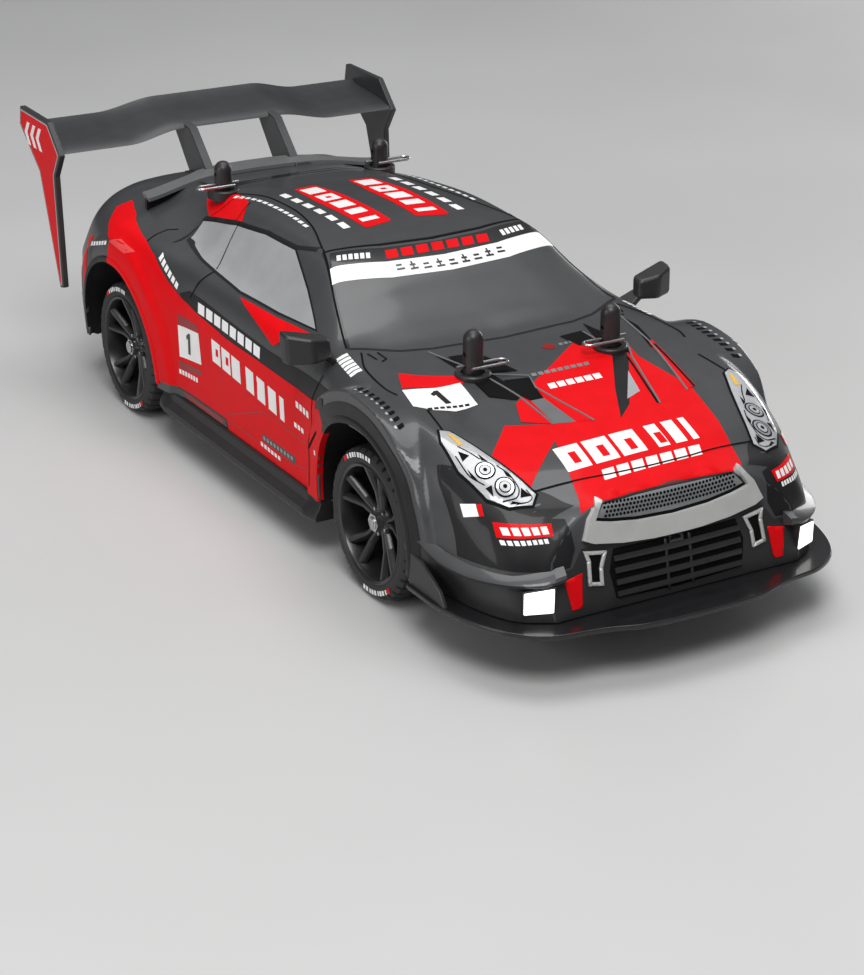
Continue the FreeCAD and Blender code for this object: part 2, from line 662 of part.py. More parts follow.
def rear_arm():
    """Two legs that straddle the half shaft, joined by the hub bearing block."""
    y, z = REAR_Y, AXLE_Z
    legs = []
    for near, far in ((7.2, 10.6), (-10.6, -7.2)):
        legs.append(rod(2.4, (PIVOT_X, y + near, z), (PIVOT_X, y + far, z), "boss"))
        legs.append(box((PIVOT_X, 35), (y + near, y + far), (21.2, 24.2), "leg"))
    block = box((30.5, 35), (y - 10.6, y + 10.6), (21.2, 24.2), "bridge")
    seat = box((22, 31), (y - 7.2, y + 7.2), (21.2, 22.0), "spring_seat")
    hub = rod(5.4, (31, y, z), (36, y, z), "hub")
    solid = fuse(*legs, block, hub, name="rear_arm")
    pins = [rod("pin_radius + 0.05", (PIVOT_X, y - 12, z), (PIVOT_X, y + 12, z), "bore")]
    shaft = rod(2.05, (20, y, z), (40, y, z), "bore")
    spring_pad = box((22, 30), (y - 7.2, y + 7.2), (26.2, 27.4), "spring_pad")
    risers = [box((22, 30), (y + a, y + b), (24.2, 27.4), "riser") for a, b in ((7.2, 10.6), (-10.6, -7.2))]
    return cut(fuse(solid, spring_pad, *risers), *pins, shaft, name="rear_arm")


def half_shaft():
    """Rear axle: a ball in the output cup, a slim shaft, the hub journal, a drive hexagon and a lock nut."""
    y, z = REAR_Y, AXLE_Z
    hexagon = [
        (y + 4.0 * math.cos(math.radians(60 * i)), z + 4.0 * math.sin(math.radians(60 * i))) for i in range(6)
    ]
    arc = [math.radians(180 - 15 * step) for step in range(1, 10)]
    drive_ball = [(PIVOT_X + 2.3 * math.cos(a), 2.3 * math.sin(a)) for a in arc]
    profile = [(PIVOT_X - 2.3, 0), *drive_ball, (29.5, 1.5), (29.5, 2.0), (57.6, 2.0), (57.6, 0)]
    return fuse(
        feature(revolve(profile, y), "shaft"), pad(hexagon, 3.0, "YZ", 37.0, "hex"), lock_nut(55.0, y),
        name="half_shaft",
    )


rear_left = {"rear_arm": rear_arm(), "half_shaft": half_shaft()}
for label, obj in rear_left.items():
    keep(f"{label}_left", obj)
    keep(f"{label}_right", mirrored(obj))

MODULE = DIMS["gear_module"]
SPUR, PINION = int(DIMS["spur_teeth"]), int(DIMS["pinion_teeth"])
CENTRES = MODULE * (SPUR + PINION) / 2
LEAN = math.radians(DIMS["motor_angle"])
MOTOR_Y = REAR_Y - CENTRES * math.cos(LEAN)
MOTOR_Z = AXLE_Z + CENTRES * math.sin(LEAN)
PRESSURE = math.radians(20)
THIN = 0.06


def gear(teeth, y, z, heading, x_low, x_high, bore):
    """An involute spur gear along X, with the middle of one tooth (or gap) along the heading."""
    pitch = MODULE * teeth / 2
    base, tip, root = pitch * math.cos(PRESSURE), pitch + MODULE, pitch - 1.25 * MODULE
    inv = math.tan(PRESSURE) - PRESSURE
    half = math.pi / 2 / teeth - THIN / pitch + inv
    points = []
    for tooth in range(teeth):
        middle = heading + 2 * math.pi * tooth / teeth
        flank = []
        for step in range(4):
            radius = max(base, root) + (tip - max(base, root)) * step / 3
            turn = math.acos(min(1.0, base / radius))
            flank.append((radius, half - (math.tan(turn) - turn)))
        flank = [(root, flank[0][1] + 0.02)] + flank
        points += [(r, middle - a) for r, a in flank] + [(r, middle + a) for r, a in reversed(flank)]
    ring_points = [V(x_low, y + r * math.cos(a), z + r * math.sin(a)) for r, a in points]
    face = Part.Face(Part.makePolygon(ring_points + ring_points[:1]))
    blank = face.extrude(V(x_high - x_low, 0, 0))
    return blank.cut(Part.makeCylinder(bore, x_high - x_low, V(x_low, y, z), X_AXIS))


heading = math.atan2(MOTOR_Z - AXLE_Z, MOTOR_Y - REAR_Y)
spur = feature(gear(SPUR, REAR_Y, AXLE_Z, heading, 3.0, 7.0, 2.5), "spur")
spool = fuse(
    rod(2.5, (-9, REAR_Y, AXLE_Z), (10.5, REAR_Y, AXLE_Z), "spool"),
    rod(4.2, (10.2, REAR_Y, AXLE_Z), (16.2, REAR_Y, AXLE_Z), "cup"),
    rod(4.2, (-16.2, REAR_Y, AXLE_Z), (-8.2, REAR_Y, AXLE_Z), "cup"),
    name="spool",
)
cups = [rod(2.65, (s * 11.2, REAR_Y, AXLE_Z), (s * 17, REAR_Y, AXLE_Z), "cup_bore") for s in (-1, 1)]
keep("drive_spool", fuse(cut(spool, *cups, name="cups"), spur, name="drive_spool"))
pinion_heading = heading + math.pi + math.pi / PINION
pinion = feature(gear(PINION, MOTOR_Y, MOTOR_Z, pinion_heading, 2.8, 7.2, 1.0), "pinion")
pinion_shaft = rod(1.0, (1.2, MOTOR_Y, MOTOR_Z), (7.6, MOTOR_Y, MOTOR_Z), "shaft")
keep("motor_pinion", fuse(pinion, pinion_shaft, name="motor_pinion"))
can = rod("motor_radius", (-18.5, MOTOR_Y, MOTOR_Z), (0.8, MOTOR_Y, MOTOR_Z), "can")
tail_boss = rod(2.4, (-20, MOTOR_Y, MOTOR_Z), (-18.5, MOTOR_Y, MOTOR_Z), "tail_boss")
socket = rod(1.05, (0.2, MOTOR_Y, MOTOR_Z), (2, MOTOR_Y, MOTOR_Z), "socket")
keep("drive_motor", cut(fuse(can, tail_boss), socket, name="drive_motor"))
case = box((-7.8, 9.8), (REAR_Y - 7, REAR_Y + 6.4), (PLATE_TOP, 38), "case")
case_cuts = [
    rod(11.6, (2, REAR_Y, AXLE_Z), (8.4, REAR_Y, AXLE_Z), "gear_room"),
    rod(5.2, (2, MOTOR_Y, MOTOR_Z), (8.4, MOTOR_Y, MOTOR_Z), "pinion_room"),
    rod("motor_radius", (-20, MOTOR_Y, MOTOR_Z), (0.8, MOTOR_Y, MOTOR_Z), "motor_seat"),
    rod(1.6, (0, MOTOR_Y, MOTOR_Z), (3, MOTOR_Y, MOTOR_Z), "shaft_way"),
    rod(2.55, (-9, REAR_Y, AXLE_Z), (12, REAR_Y, AXLE_Z), "bearing"),
]
keep("rear_gearbox", cut(case, *case_cuts, name="rear_gearbox"))


# ---- springs ----
def spring(y, foot):
    """A coil spring between an arm and its bulkhead seat."""
    r, wire = DIMS["spring_radius"], DIMS["spring_wire"]
    low, high = foot + wire, DIMS["spring_head"] - wire
    helix = Part.makeHelix((high - low) / 6, high - low, r)
    disc = Part.Wire([Part.makeCircle(wire, V(r, 0, 0), Y_AXIS)])
    coil = Part.Wire(helix.Edges).makePipeShell([disc], True, True)
    obj = feature(coil, "spring")
    obj.Placement.Base = V(DIMS["spring_x"], y, low)
    return obj


for end, y, foot in (("front", FRONT_Y, DIMS["spring_foot"]), ("rear", REAR_Y, 27.7)):
    coil = spring(y, foot)
    keep(f"{end}_spring_left", coil)
    keep(f"{end}_spring_right", mirrored(coil))

# ---- electrics ----
keep("battery_pack", box((-12, 12), (2, 64), (PLATE_TOP + 0.1, 30), "battery"))
keep("receiver_unit", box((-12, 12), (-37, -6), (PLATE_TOP + 1.6, 24), "receiver"))


# ---- wheels ----
def tyre(y):
    half, radius, rim = DIMS["tyre_width"] / 2, DIMS["tyre_radius"], DIMS["rim_radius"]
    profile = [
        (-half, rim), (-half, radius - 2.2), (-half + 2.2, radius),
        (half - 2.2, radius), (half, radius - 2.2), (half, rim),
    ]
    return feature(revolve([(WHEEL_X + x, r) for x, r in profile], y), "tyre")


SPOKES = 5


def rim(y, bore):
    """A deep barrel with five forked spokes and a hub."""
    half, radius = DIMS["tyre_width"] / 2, DIMS["rim_radius"]
    barrel = [(-half, radius), (half, radius), (half, radius - 1.2), (-half, radius - 1.2)]
    shape = revolve([(WHEEL_X + x, r) for x, r in barrel], y)
    face_x = WHEEL_X + 3.4
    hub = Part.makeCylinder(4.6, 4.2, V(face_x - 1.6, y, AXLE_Z), X_AXIS)
    pieces = [hub]
    for spoke in range(SPOKES):
        for fan in (-11, 11):
            bar = Part.makeBox(2.2, 1.8, radius - 3.4, V(face_x, y - 0.9, AXLE_Z + 2.6))
            bar.rotate(V(0, y, AXLE_Z), X_AXIS, 360 / SPOKES * spoke + fan)
            pieces.append(bar)
    shape = shape.fuse(pieces).removeSplitter()
    return feature(shape.cut(Part.makeCylinder(bore, 30, V(35, y, AXLE_Z), X_AXIS)), "rim")


for end, y, bore in (("front", FRONT_Y, 1.55), ("rear", REAR_Y, 2.0)):
    for label, made in ((f"{end}_tyre", tyre(y)), (f"{end}_rim", rim(y, bore))):
        keep(f"{label}_left", made)
        keep(f"{label}_right", mirrored(made))

# ---- checks and export ----
doc.recompute()
broken = [o.Label for o in doc.Objects if "Invalid" in o.State or "Error" in o.State]
if broken:
    raise SystemExit(f"failed objects: {broken}")
os.makedirs(PARTS, exist_ok=True)
for label, obj in kept.items():
    shape = obj.Shape
    if shape.isNull() or not shape.isValid() or not shape.Solids:
        raise SystemExit(f"{label}: no valid solid")
    shape.exportStep(os.path.join(PARTS, f"{label}.step"))
    print(f"{label:26s} solids {len(shape.Solids):2d} volume {shape.Volume:9.1f}")
print(len(kept), "sub-parts")
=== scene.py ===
"""Looks of the 1:16 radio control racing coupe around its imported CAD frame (metres, nose towards -Y)."""
import math

import bmesh
import bpy
import numpy as np
from mathutils import Matrix, Vector
from mathutils.bvhtree import BVHTree


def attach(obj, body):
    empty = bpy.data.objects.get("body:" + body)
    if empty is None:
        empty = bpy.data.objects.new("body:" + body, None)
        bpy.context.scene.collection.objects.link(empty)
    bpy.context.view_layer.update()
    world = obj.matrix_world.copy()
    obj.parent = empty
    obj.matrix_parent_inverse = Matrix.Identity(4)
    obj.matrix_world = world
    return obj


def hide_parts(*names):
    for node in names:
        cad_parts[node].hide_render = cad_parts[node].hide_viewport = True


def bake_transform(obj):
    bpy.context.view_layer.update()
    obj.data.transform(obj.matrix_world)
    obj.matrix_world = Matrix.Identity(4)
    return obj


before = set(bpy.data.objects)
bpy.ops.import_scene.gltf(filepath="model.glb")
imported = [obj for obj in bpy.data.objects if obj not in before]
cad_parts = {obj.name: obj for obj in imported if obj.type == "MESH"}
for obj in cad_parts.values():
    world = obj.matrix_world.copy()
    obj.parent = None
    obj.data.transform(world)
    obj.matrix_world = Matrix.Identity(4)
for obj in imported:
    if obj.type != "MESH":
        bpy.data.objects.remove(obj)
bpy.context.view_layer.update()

MM = 0.001
ROOT = "car"
FRONT_Y, REAR_Y, AXLE_Z = -77.0, 95.0, 23.0
ARCH_Z, ARCH_RADIUS = 24.0, 30.0
ARCH_EDGE = 31.3  # radius round a wheel arch where the skin is still whole
GRAIN_DEPTH = 0.0002


# ---------------------------------------------------------------- materials
def material(name, color, rough=0.4, metal=0.0, coat=0.0, vary=0.05, scale=160.0, bump=0.02, bump_scale=900.0,
             coat_rough=0.06, stretch=(1, 1, 1), emit=0.0, specular=0.5):
    """A procedural finish: colour and roughness drift with noise, and a fine bump."""
    mat = bpy.data.materials.new(name)
    mat.use_nodes = True
    nodes, links = mat.node_tree.nodes, mat.node_tree.links
    shader = nodes["Principled BSDF"]
    shader.inputs["Metallic"].default_value = metal
    shader.inputs["Coat Weight"].default_value = coat
    shader.inputs["Coat Roughness"].default_value = coat_rough
    shader.inputs["Specular IOR Level"].default_value = specular
    place = nodes.new("ShaderNodeTexCoord")
    mapping = nodes.new("ShaderNodeMapping")
    mapping.inputs["Scale"].default_value = stretch
    links.new(place.outputs["Object"], mapping.inputs["Vector"])
    cloud = nodes.new("ShaderNodeTexNoise")
    cloud.inputs["Scale"].default_value = scale
    cloud.inputs["Detail"].default_value = 5
    links.new(mapping.outputs["Vector"], cloud.inputs["Vector"])
    ramp = nodes.new("ShaderNodeValToRGB")
    ramp.color_ramp.elements[0].position = 0.3
    ramp.color_ramp.elements[1].position = 0.72
    ramp.color_ramp.elements[0].color = (*[c * (1 - vary) for c in color], 1)
    ramp.color_ramp.elements[1].color = (*[min(1, c * (1 + vary)) for c in color], 1)
    links.new(cloud.outputs["Fac"], ramp.inputs["Fac"])
    links.new(ramp.outputs["Color"], shader.inputs["Base Color"])
    spread = nodes.new("ShaderNodeMapRange")
    spread.inputs["To Min"].default_value = rough * 0.85
    spread.inputs["To Max"].default_value = min(1, rough * 1.2)
    links.new(cloud.outputs["Fac"], spread.inputs["Value"])
    links.new(spread.outputs["Result"], shader.inputs["Roughness"])
    if bump:
        grain = nodes.new("ShaderNodeTexNoise")
        grain.inputs["Scale"].default_value = bump_scale
        grain.inputs["Detail"].default_value = 3
        links.new(mapping.outputs["Vector"], grain.inputs["Vector"])
        bumps = nodes.new("ShaderNodeBump")
        bumps.inputs["Strength"].default_value = bump
        bumps.inputs["Distance"].default_value = GRAIN_DEPTH
        links.new(grain.outputs["Fac"], bumps.inputs["Height"])
        links.new(bumps.outputs["Normal"], shader.inputs["Normal"])
    if emit:
        shader.inputs["Emission Color"].default_value = (1, 0.98, 0.94, 1)
        shader.inputs["Emission Strength"].default_value = emit
    return mat


GREY = material("paint_gunmetal", (0.044, 0.045, 0.047), 0.36, coat=0.3, vary=0.06, specular=0.35)
RED = material("paint_red", (0.66, 0.004, 0.007), 0.42, coat=0.05, specular=0.06)
# Lighter red used as a painted highlight on the rear flare's crest.
RED_HIGHLIGHT = material("paint_red_painted_highlight", (0.74, 0.07, 0.07), 0.36, coat=0.3, specular=0.3)
# Mid grey paint that also serves as a painted highlight: the boot lip's top face, the hood ridges and the
# lower inner hood vent.
MID_GREY_AND_HIGHLIGHT = material("paint_mid_grey_and_painted_highlight", (0.13, 0.132, 0.136), 0.38, coat=0.3, specular=0.3)
# Dark paint for livery, also used as painted shade on the front flare's face, along the bumper crease and on
# the boot lip's web.
DARK = material("paint_dark", (0.011, 0.011, 0.012), 0.42, coat=0.12, vary=0.08, specular=0.18)
# Dark red for print, also used as painted shade along the side creases and at the skirt top.
DARK_RED = material("paint_dark_red", (0.24, 0.005, 0.007), 0.38, coat=0.3, vary=0.06, specular=0.3)
BLACK = material("paint_black", (0.008, 0.008, 0.009), 0.3, coat=0.4, vary=0.1, specular=0.35)
WHITE = material("paint_white", (0.82, 0.82, 0.81), 0.4, coat=0.2, vary=0.03)
PALE = material("paint_pale_grey", (0.35, 0.36, 0.37), 0.35, coat=0.6, vary=0.04)
GLASS = material("window_dark", (0.045, 0.046, 0.048), 0.34, coat=0.2, coat_rough=0.1)
SIDE_GLASS = material("window_side", (0.3, 0.305, 0.31), 0.3, coat=0.4, coat_rough=0.1)
# Near-black for panel seams and gaps, also used as painted shade in the hood vents, the post recesses and
# beside the hood ridges.
SEAM_AND_SHADE = material("seam_and_painted_shade", (0.003, 0.003, 0.003), 0.7, vary=0.1, bump=0.05, specular=0.1)
TRIM = material("trim_black", (0.016, 0.016, 0.017), 0.42, vary=0.12, bump=0.12, bump_scale=1400)
WING_BLACK = material("wing_black", (0.028, 0.029, 0.031), 0.4, vary=0.1, bump=0.1, bump_scale=1400)
RIM_BLACK = material("rim_black", (0.014, 0.014, 0.015), 0.3, vary=0.1, bump=0.06, specular=0.6)
SILVER = material("satin_silver", (0.5, 0.5, 0.49), 0.36, metal=0.25, bump=0.05, bump_scale=1800)
STEEL = material("steel", (0.52, 0.52, 0.53), 0.28, metal=1.0, vary=0.08, bump=0.08, stretch=(1, 1, 12))
CHROME = material("lamp_chrome", (0.6, 0.61, 0.63), 0.16, metal=0.7, coat=0.8, vary=0.06, bump=0.04)
LENS = material("lamp_lens", (0.4, 0.41, 0.42), 0.2, coat=1.0, vary=0.08, bump=0.05, scale=500)
AMBER = material("lamp_amber", (0.75, 0.42, 0.04), 0.25, coat=1.0, vary=0.08, bump=0.03)
TAIL_RED = material("tail_red", (0.42, 0.006, 0.006), 0.18, coat=1.0, vary=0.1, bump=0.03)
LED = material("led_white", (0.95, 0.95, 0.95), 0.3, vary=0.03, emit=1.4)
MESH_SILVER = material("grille_silver", (0.33, 0.34, 0.35), 0.34, metal=0.6, vary=0.1, bump=0.05)
TYRE = material("tyre_rubber", (0.019, 0.019, 0.02), 0.62, vary=0.2, bump=0.35, bump_scale=700)
CHASSIS = material("chassis_plastic", (0.022, 0.022, 0.024), 0.5, vary=0.15, bump=0.25, bump_scale=1100)
NYLON = material("gear_nylon", (0.62, 0.6, 0.55), 0.45, vary=0.06, bump=0.08)
BATTERY = material("battery_wrap", (0.03, 0.07, 0.22), 0.3, coat=0.5, vary=0.15, bump=0.3, bump_scale=260)
SWITCH = material("switch_red", (0.5, 0.02, 0.02), 0.35, bump=0.08)
CAN = material("motor_can", (0.45, 0.46, 0.48), 0.32, metal=1.0, vary=0.08, bump=0.15, stretch=(14, 1, 1))


# ---------------------------------------------------------------- mesh helpers (sizes in millimetres)
def linked_mesh(name, verts, faces, mat):
    """A mesh object in the scene, from points in millimetres."""
    mesh = bpy.data.meshes.new(name)
    mesh.from_pydata([[c * MM for c in v] for v in verts], [], [list(f) for f in faces])
    mesh.materials.append(mat)
    obj = bpy.data.objects.new(name, mesh)
    bpy.context.scene.collection.objects.link(obj)
    return obj


def bevel_edges(obj, width, least_angle):
    """Rounds the edges that turn by more than an angle in degrees."""
    edge = obj.modifiers.new("edge", "BEVEL")
    edge.width = width * MM
    edge.segments = 2
    edge.limit_method = "ANGLE"
    edge.angle_limit = math.radians(least_angle)
    return edge


def piece(name, verts, faces, mat, body=ROOT, angle=35, replaces=(), slot=None, bevel=0.0, recalc=True):
    """A mesh piece in millimetres that rides on a CAD body."""
    obj = linked_mesh(name, verts, faces, mat)
    mesh = obj.data
    mesh.validate()
    if recalc:
        work = bmesh.new()
        work.from_mesh(mesh)
        bmesh.ops.remove_doubles(work, verts=work.verts, dist=1e-7)
        bmesh.ops.recalc_face_normals(work, faces=work.faces)
        work.to_mesh(mesh)
        work.free()
    mesh.shade_smooth()
    if angle:
        mesh.set_sharp_from_angle(angle=math.radians(angle))
    if bevel:
        bevel_edges(obj, bevel, 40).harden_normals = True
    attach(obj, body)
    if replaces:
        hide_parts(*replaces)
    return obj


def sweep_faces(rings, n, near=True):
    """Faces that join rings of n points each: the end faces first, then the sides."""
    ends = [list(range(n))] if near else []
    ends.append([rings * n - 1 - i for i in range(n)])
    return ends + [
        [k * n + i, k * n + (i + 1) % n, (k + 1) * n + (i + 1) % n, (k + 1) * n + i]
        for k in range(rings - 1) for i in range(n)
    ]


class Build:
    """Collects faces for one piece."""

    def __init__(self):
        self.verts, self.faces = [], []

    def add(self, verts, faces):
        base = len(self.verts)
        self.verts += [tuple(v) for v in verts]
        self.faces += [[base + i for i in f] for f in faces]
        return self

    def prism(self, outline, low, high, axis="x"):
        """A closed outline extruded along an axis. Outline pairs follow the other two axes in order."""
        make = {
            "x": lambda a, b, t: (t, a, b), "y": lambda a, b, t: (a, t, b), "z": lambda a, b, t: (a, b, t),
        }[axis]
        verts = [make(a, b, t) for t in (low, high) for a, b in outline]
        return self.add(verts, sweep_faces(2, len(outline)))

    def lathe(self, profile, centre, axis="x", segments=64, closed=True, radius_at=None):
        """Turns (along, radius) pairs about an axis through the centre."""
        n = len(profile)
        verts = []
        for s in range(segments):
            angle = 2 * math.pi * s / segments
            for i, (along, radius) in enumerate(profile):
                r = radius_at(i, s, radius) if radius_at else radius
                c, d = r * math.cos(angle), r * math.sin(angle)
                offset = {"x": (along, c, d), "y": (c, along, d), "z": (c, d, along)}[axis]
                verts.append([centre[k] + offset[k] for k in range(3)])
        faces = []
        last = n if closed else n - 1
        for s in range(segments):
            t = (s + 1) % segments
            for i in range(last):
                j = (i + 1) % n
                faces.append([s * n + i, s * n + j, t * n + j, t * n + i])
        return self.add(verts, faces)

    def tube(self, points, radius, sides=10):
        """A round bar along a path."""
        points = [Vector(p) for p in points]
        rings = []
        for i, p in enumerate(points):
            along = (points[min(i + 1, len(points) - 1)] - points[max(i - 1, 0)]).normalized()
            side = along.cross(Vector((0, 0, 1)) if abs(along.z) < 0.9 else Vector((0, 1, 0))).normalized()
            up = side.cross(along)
            turns = [2 * math.pi * k / sides for k in range(sides)]
            rings.append([p + radius * (side * math.cos(a) + up * math.sin(a)) for a in turns])
        return self.add([v for ring in rings for v in ring], sweep_faces(len(rings), sides))

    def mirror(self):
        """Adds the same again on the other side of the car."""
        verts, faces = list(self.verts), [list(f) for f in self.faces]
        return self.add([(-x, y, z) for x, y, z in verts], [f[::-1] for f in faces])

    def make(self, name, mat, **options):
        return piece(name, self.verts, self.faces, mat, **options)


def smoothstep(low, high, value):
    """Eases from 0 to 1 between two values."""
    t = np.clip((value - low) / (high - low), 0, 1)
    return t * t * (3 - 2 * t)


def hermite(knots, values, at):
    """Monotone cubic curve through the values (rows follow the knots)."""
    knots = np.asarray(knots, float)
    values = np.asarray(values, float)
    gaps = np.diff(knots)
    slopes = np.diff(values, axis=0) / gaps.reshape(-1, *[1] * (values.ndim - 1))
    tangents = np.zeros_like(values)
    tangents[0], tangents[-1] = slopes[0], slopes[-1]
    same = slopes[:-1] * slopes[1:] > 0
    with np.errstate(divide="ignore", invalid="ignore"):
        blend = 2 * slopes[:-1] * slopes[1:] / (slopes[:-1] + slopes[1:])
    tangents[1:-1] = np.where(same, blend, 0)
    at = np.clip(at, knots[0], knots[-1])
    k = np.clip(np.searchsorted(knots, at, side="right") - 1, 0, len(gaps) - 1)
    h = gaps[k]
    t = (at - knots[k]) / h
    shape = [-1] + [1] * (values.ndim - 1)
    t, h = t.reshape(shape), h.reshape(shape)
    return (
        (2 * t**3 - 3 * t**2 + 1) * values[k] + (t**3 - 2 * t**2 + t) * h * tangents[k]
        + (3 * t**2 - 2 * t**3) * values[k + 1] + (t**3 - t**2) * h * tangents[k + 1]
    )


# ---------------------------------------------------------------- body shell
# Half sections of (across, up) points: centre line, inner line, roof or bonnet edge, window top,
# window bottom, shoulder, widest, side, sill.
SECTIONS = [
    (-148, [(0, 47.2), (14, 46.9), (22, 46.2), (26, 44.8), (30, 42.8), (36, 38.6), (40.5, 32), (42, 24),
            (41, 18)]),
    (-142, [(0, 48.6), (18, 48.3), (27, 47.4), (33, 46.3), (38, 44.8), (44, 41), (49.5, 32.5), (51, 24),
            (50, 18)]),
    (-132, [(0, 50.8), (20, 50.4), (30, 49.6), (37, 48.6), (44, 47), (50.5, 42), (54.5, 33), (55.5, 25),
            (55, 18)]),
    (-118, [(0, 54.5), (22, 54.2), (33, 53.8), (41, 53.6), (48, 52.5), (54.5, 48), (58, 37), (58.5, 26),
            (58, 18)]),
    (-103, [(0, 57.8), (24, 57.6), (35, 57.3), (43, 58), (50, 58.3), (56.5, 54), (60.8, 42), (61.5, 28),
            (61, 18)]),
    (-77, [(0, 62.3), (24, 62.4), (36, 61.6), (44, 61.8), (51.5, 61.8), (58, 58.5), (61, 50), (61.2, 34),
           (61, 18.5)]),
    (-52, [(0, 63.5), (24, 64.2), (38, 63.9), (45, 64), (51, 63), (56, 58), (59.0, 46), (58.5, 30),
           (58, 18.5)]),
    (-44, [(0, 66.8), (24, 66.9), (40, 65.6), (47, 64.6), (51, 63.3), (55, 58), (58, 44), (57.6, 28),
           (57.5, 18.5)]),
    (-30, [(0, 73.8), (22, 73.6), (38, 71.9), (43, 70.5), (49.5, 64.6), (54, 59), (57, 44), (57, 28),
           (57, 18.5)]),
    (-10, [(0, 82.9), (20, 82.9), (34.5, 82), (37.5, 80.4), (49, 65.2), (54, 59.5), (57, 44), (57, 28),
           (57, 18.5)]),
    (20, [(0, 85), (19, 84.9), (33.5, 83.6), (38, 80.6), (48.5, 66), (54, 60.5), (57, 44), (57, 28),
          (57, 18.5)]),
    (45, [(0, 84.3), (18, 84.1), (31.5, 82.7), (37.4, 78.7), (48.5, 66.8), (54.5, 62), (57.5, 46), (57.5, 29),
          (57, 18.5)]),
    (72, [(0, 81.2), (16, 81), (28.5, 79.5), (34.5, 74.6), (44.5, 68.6), (56.5, 65), (61, 50), (61, 32),
          (60, 18.5)]),
    (95, [(0, 77), (16, 76.9), (28, 76.0), (35.5, 72.0), (46.5, 69.0), (57.5, 65), (61.5, 52), (62, 36),
          (62, 18.5)]),
    (112, [(0, 74), (18, 73.9), (31, 73), (41, 70), (50, 67), (57, 62), (61, 50), (61.5, 36), (61, 18.5)]),
    (128, [(0, 72), (20, 72), (34, 71.2), (43, 69), (50, 65), (55.5, 58), (58.5, 48), (59, 36), (58, 19)]),
    (134, [(0, 66), (20, 66), (34, 65.3), (42, 63.5), (48.5, 60), (53.5, 54), (57, 46), (57, 35), (56, 19)]),
    (141, [(0, 57), (20, 57), (32, 56.5), (40, 55.5), (46, 53.5), (51, 49), (54, 42), (54, 33), (53, 19.5)]),
    (150, [(0, 48), (18, 48), (28, 47.6), (35, 46.8), (41, 45), (45, 42), (48, 37), (48, 30), (47, 20)]),
]
ROWS, AROUND = 372, 100
SNAP = 0.62  # how near the arch circle a point of the skin is moved onto it
RAKE, RAKE_FOOT = 0.28, 24
CAP_Z = 33.0  # height of the middle of the closed nose and tail
stations = np.array([y for y, _ in SECTIONS], float)
table = np.array([points for _, points in SECTIONS], float)


def shell_grid():
    """Points of the right-hand half of the skin, rows along the car and columns from the roof to the sill."""
    ys = np.linspace(stations[0], stations[-1], ROWS)
    half = hermite(stations, table, ys)
    vs = np.linspace(0, table.shape[1] - 1, AROUND)
    grid = np.zeros((ROWS, AROUND, 3))
    for row in range(ROWS):
        section = hermite(np.arange(table.shape[1]), half[row], vs)
        grid[row, :, 0] = section[:, 0]
        grid[row, :, 1] = ys[row]
        grid[row, :, 2] = section[:, 1]
    return grid


def flare(grid):
    """Raised wheel-arch flares with a firm outer edge."""
    x, y, z = grid[..., 0], grid[..., 1], grid[..., 2]
    for centre, reach, rise in ((FRONT_Y, 38.0, 1.5), (REAR_Y, 38.5, 1.2)):
        radius = np.hypot(y - centre, z - ARCH_Z)
        band = smoothstep(reach + 1.8, reach - 1.0, radius)
        side = smoothstep(46, 56, x)
        x = x + rise * band * side
        if centre == FRONT_Y:
            top = band * smoothstep(50, 57, x) * smoothstep(44, 54, z)
            x = x + np.maximum(62.2 - x, 0) * top
            z = z + 1.7 * top
    grid[..., 0] = np.minimum(x, 63.4)
    grid[..., 2] = z
    return grid


def arch_snap(grid):
    """Moves the skin's points nearest each wheel arch onto the arch circle, and marks what lies inside it."""
    inside = np.zeros(grid.shape[:2], bool)
    for centre in (FRONT_Y, REAR_Y):
        dy, dz = grid[..., 1] - centre, grid[..., 2] - ARCH_Z
        radius = np.hypot(dy, dz)
        on_side = grid[..., 0] > 40
        near = on_side & (np.abs(radius - ARCH_RADIUS) < SNAP)
        scale = np.where(near, ARCH_RADIUS / np.maximum(radius, 1e-6), 1)
        grid[..., 1] = centre + dy * scale
        grid[..., 2] = ARCH_Z + dz * scale
        inside |= on_side & (radius < ARCH_RADIUS - SNAP)
    return grid, inside


def nose_rake(grid):
    """Leans the bumper's face back towards its top."""
    y, z = grid[..., 1], grid[..., 2]
    grid[..., 1] = y + RAKE * (z - RAKE_FOOT) * smoothstep(-124, -147, y)
    return grid


grid, hole = arch_snap(flare(nose_rake(shell_grid())))


def shell_mesh():
    """The whole skin: both halves as one grid, with open wheel arches and a closed nose and tail."""
    right = grid * np.array([-1, 1, 1])
    whole = np.concatenate([grid[:, ::-1], right[:, 1:]], axis=1)
    gone = np.concatenate([hole[:, ::-1], hole[:, 1:]], axis=1)
    wide = whole.shape[1]
    faces = []
    for i in range(ROWS - 1):
        for j in range(wide - 1):
            if gone[i:i + 2, j:j + 2].any():
                continue
            a = i * wide + j
            faces.append((a, a + 1, a + wide + 1, a + wide))
    verts = [tuple(p) for p in whole.reshape(-1, 3)]
    nose_y = stations[0] + RAKE * (CAP_Z - RAKE_FOOT)
    for row, middle_y in ((0, nose_y - 0.8), (ROWS - 1, whole[-1, 0, 1])):
        ring = [row * wide + j for j in range(wide)]
        ends = np.array([verts[ring[-1]], verts[ring[0]]])
        for share in np.linspace(0, 1, 26)[1:-1]:
            ring.append(len(verts))
            verts.append(tuple(ends[0] + (ends[1] - ends[0]) * share))
        centre = np.array([0, middle_y, CAP_Z])
        count = len(ring)
        previous = ring
        for step in (0.75, 0.5, 0.25, 0.04):
            fresh = [len(verts) + k for k in range(count)]
            verts += [tuple(centre + (np.array(verts[index]) - centre) * step) for index in ring]
            for j in range(count):
                after = (j + 1) % count
                faces.append((previous[j], previous[after], fresh[after], fresh[j]))
            previous = fresh
    return verts, faces


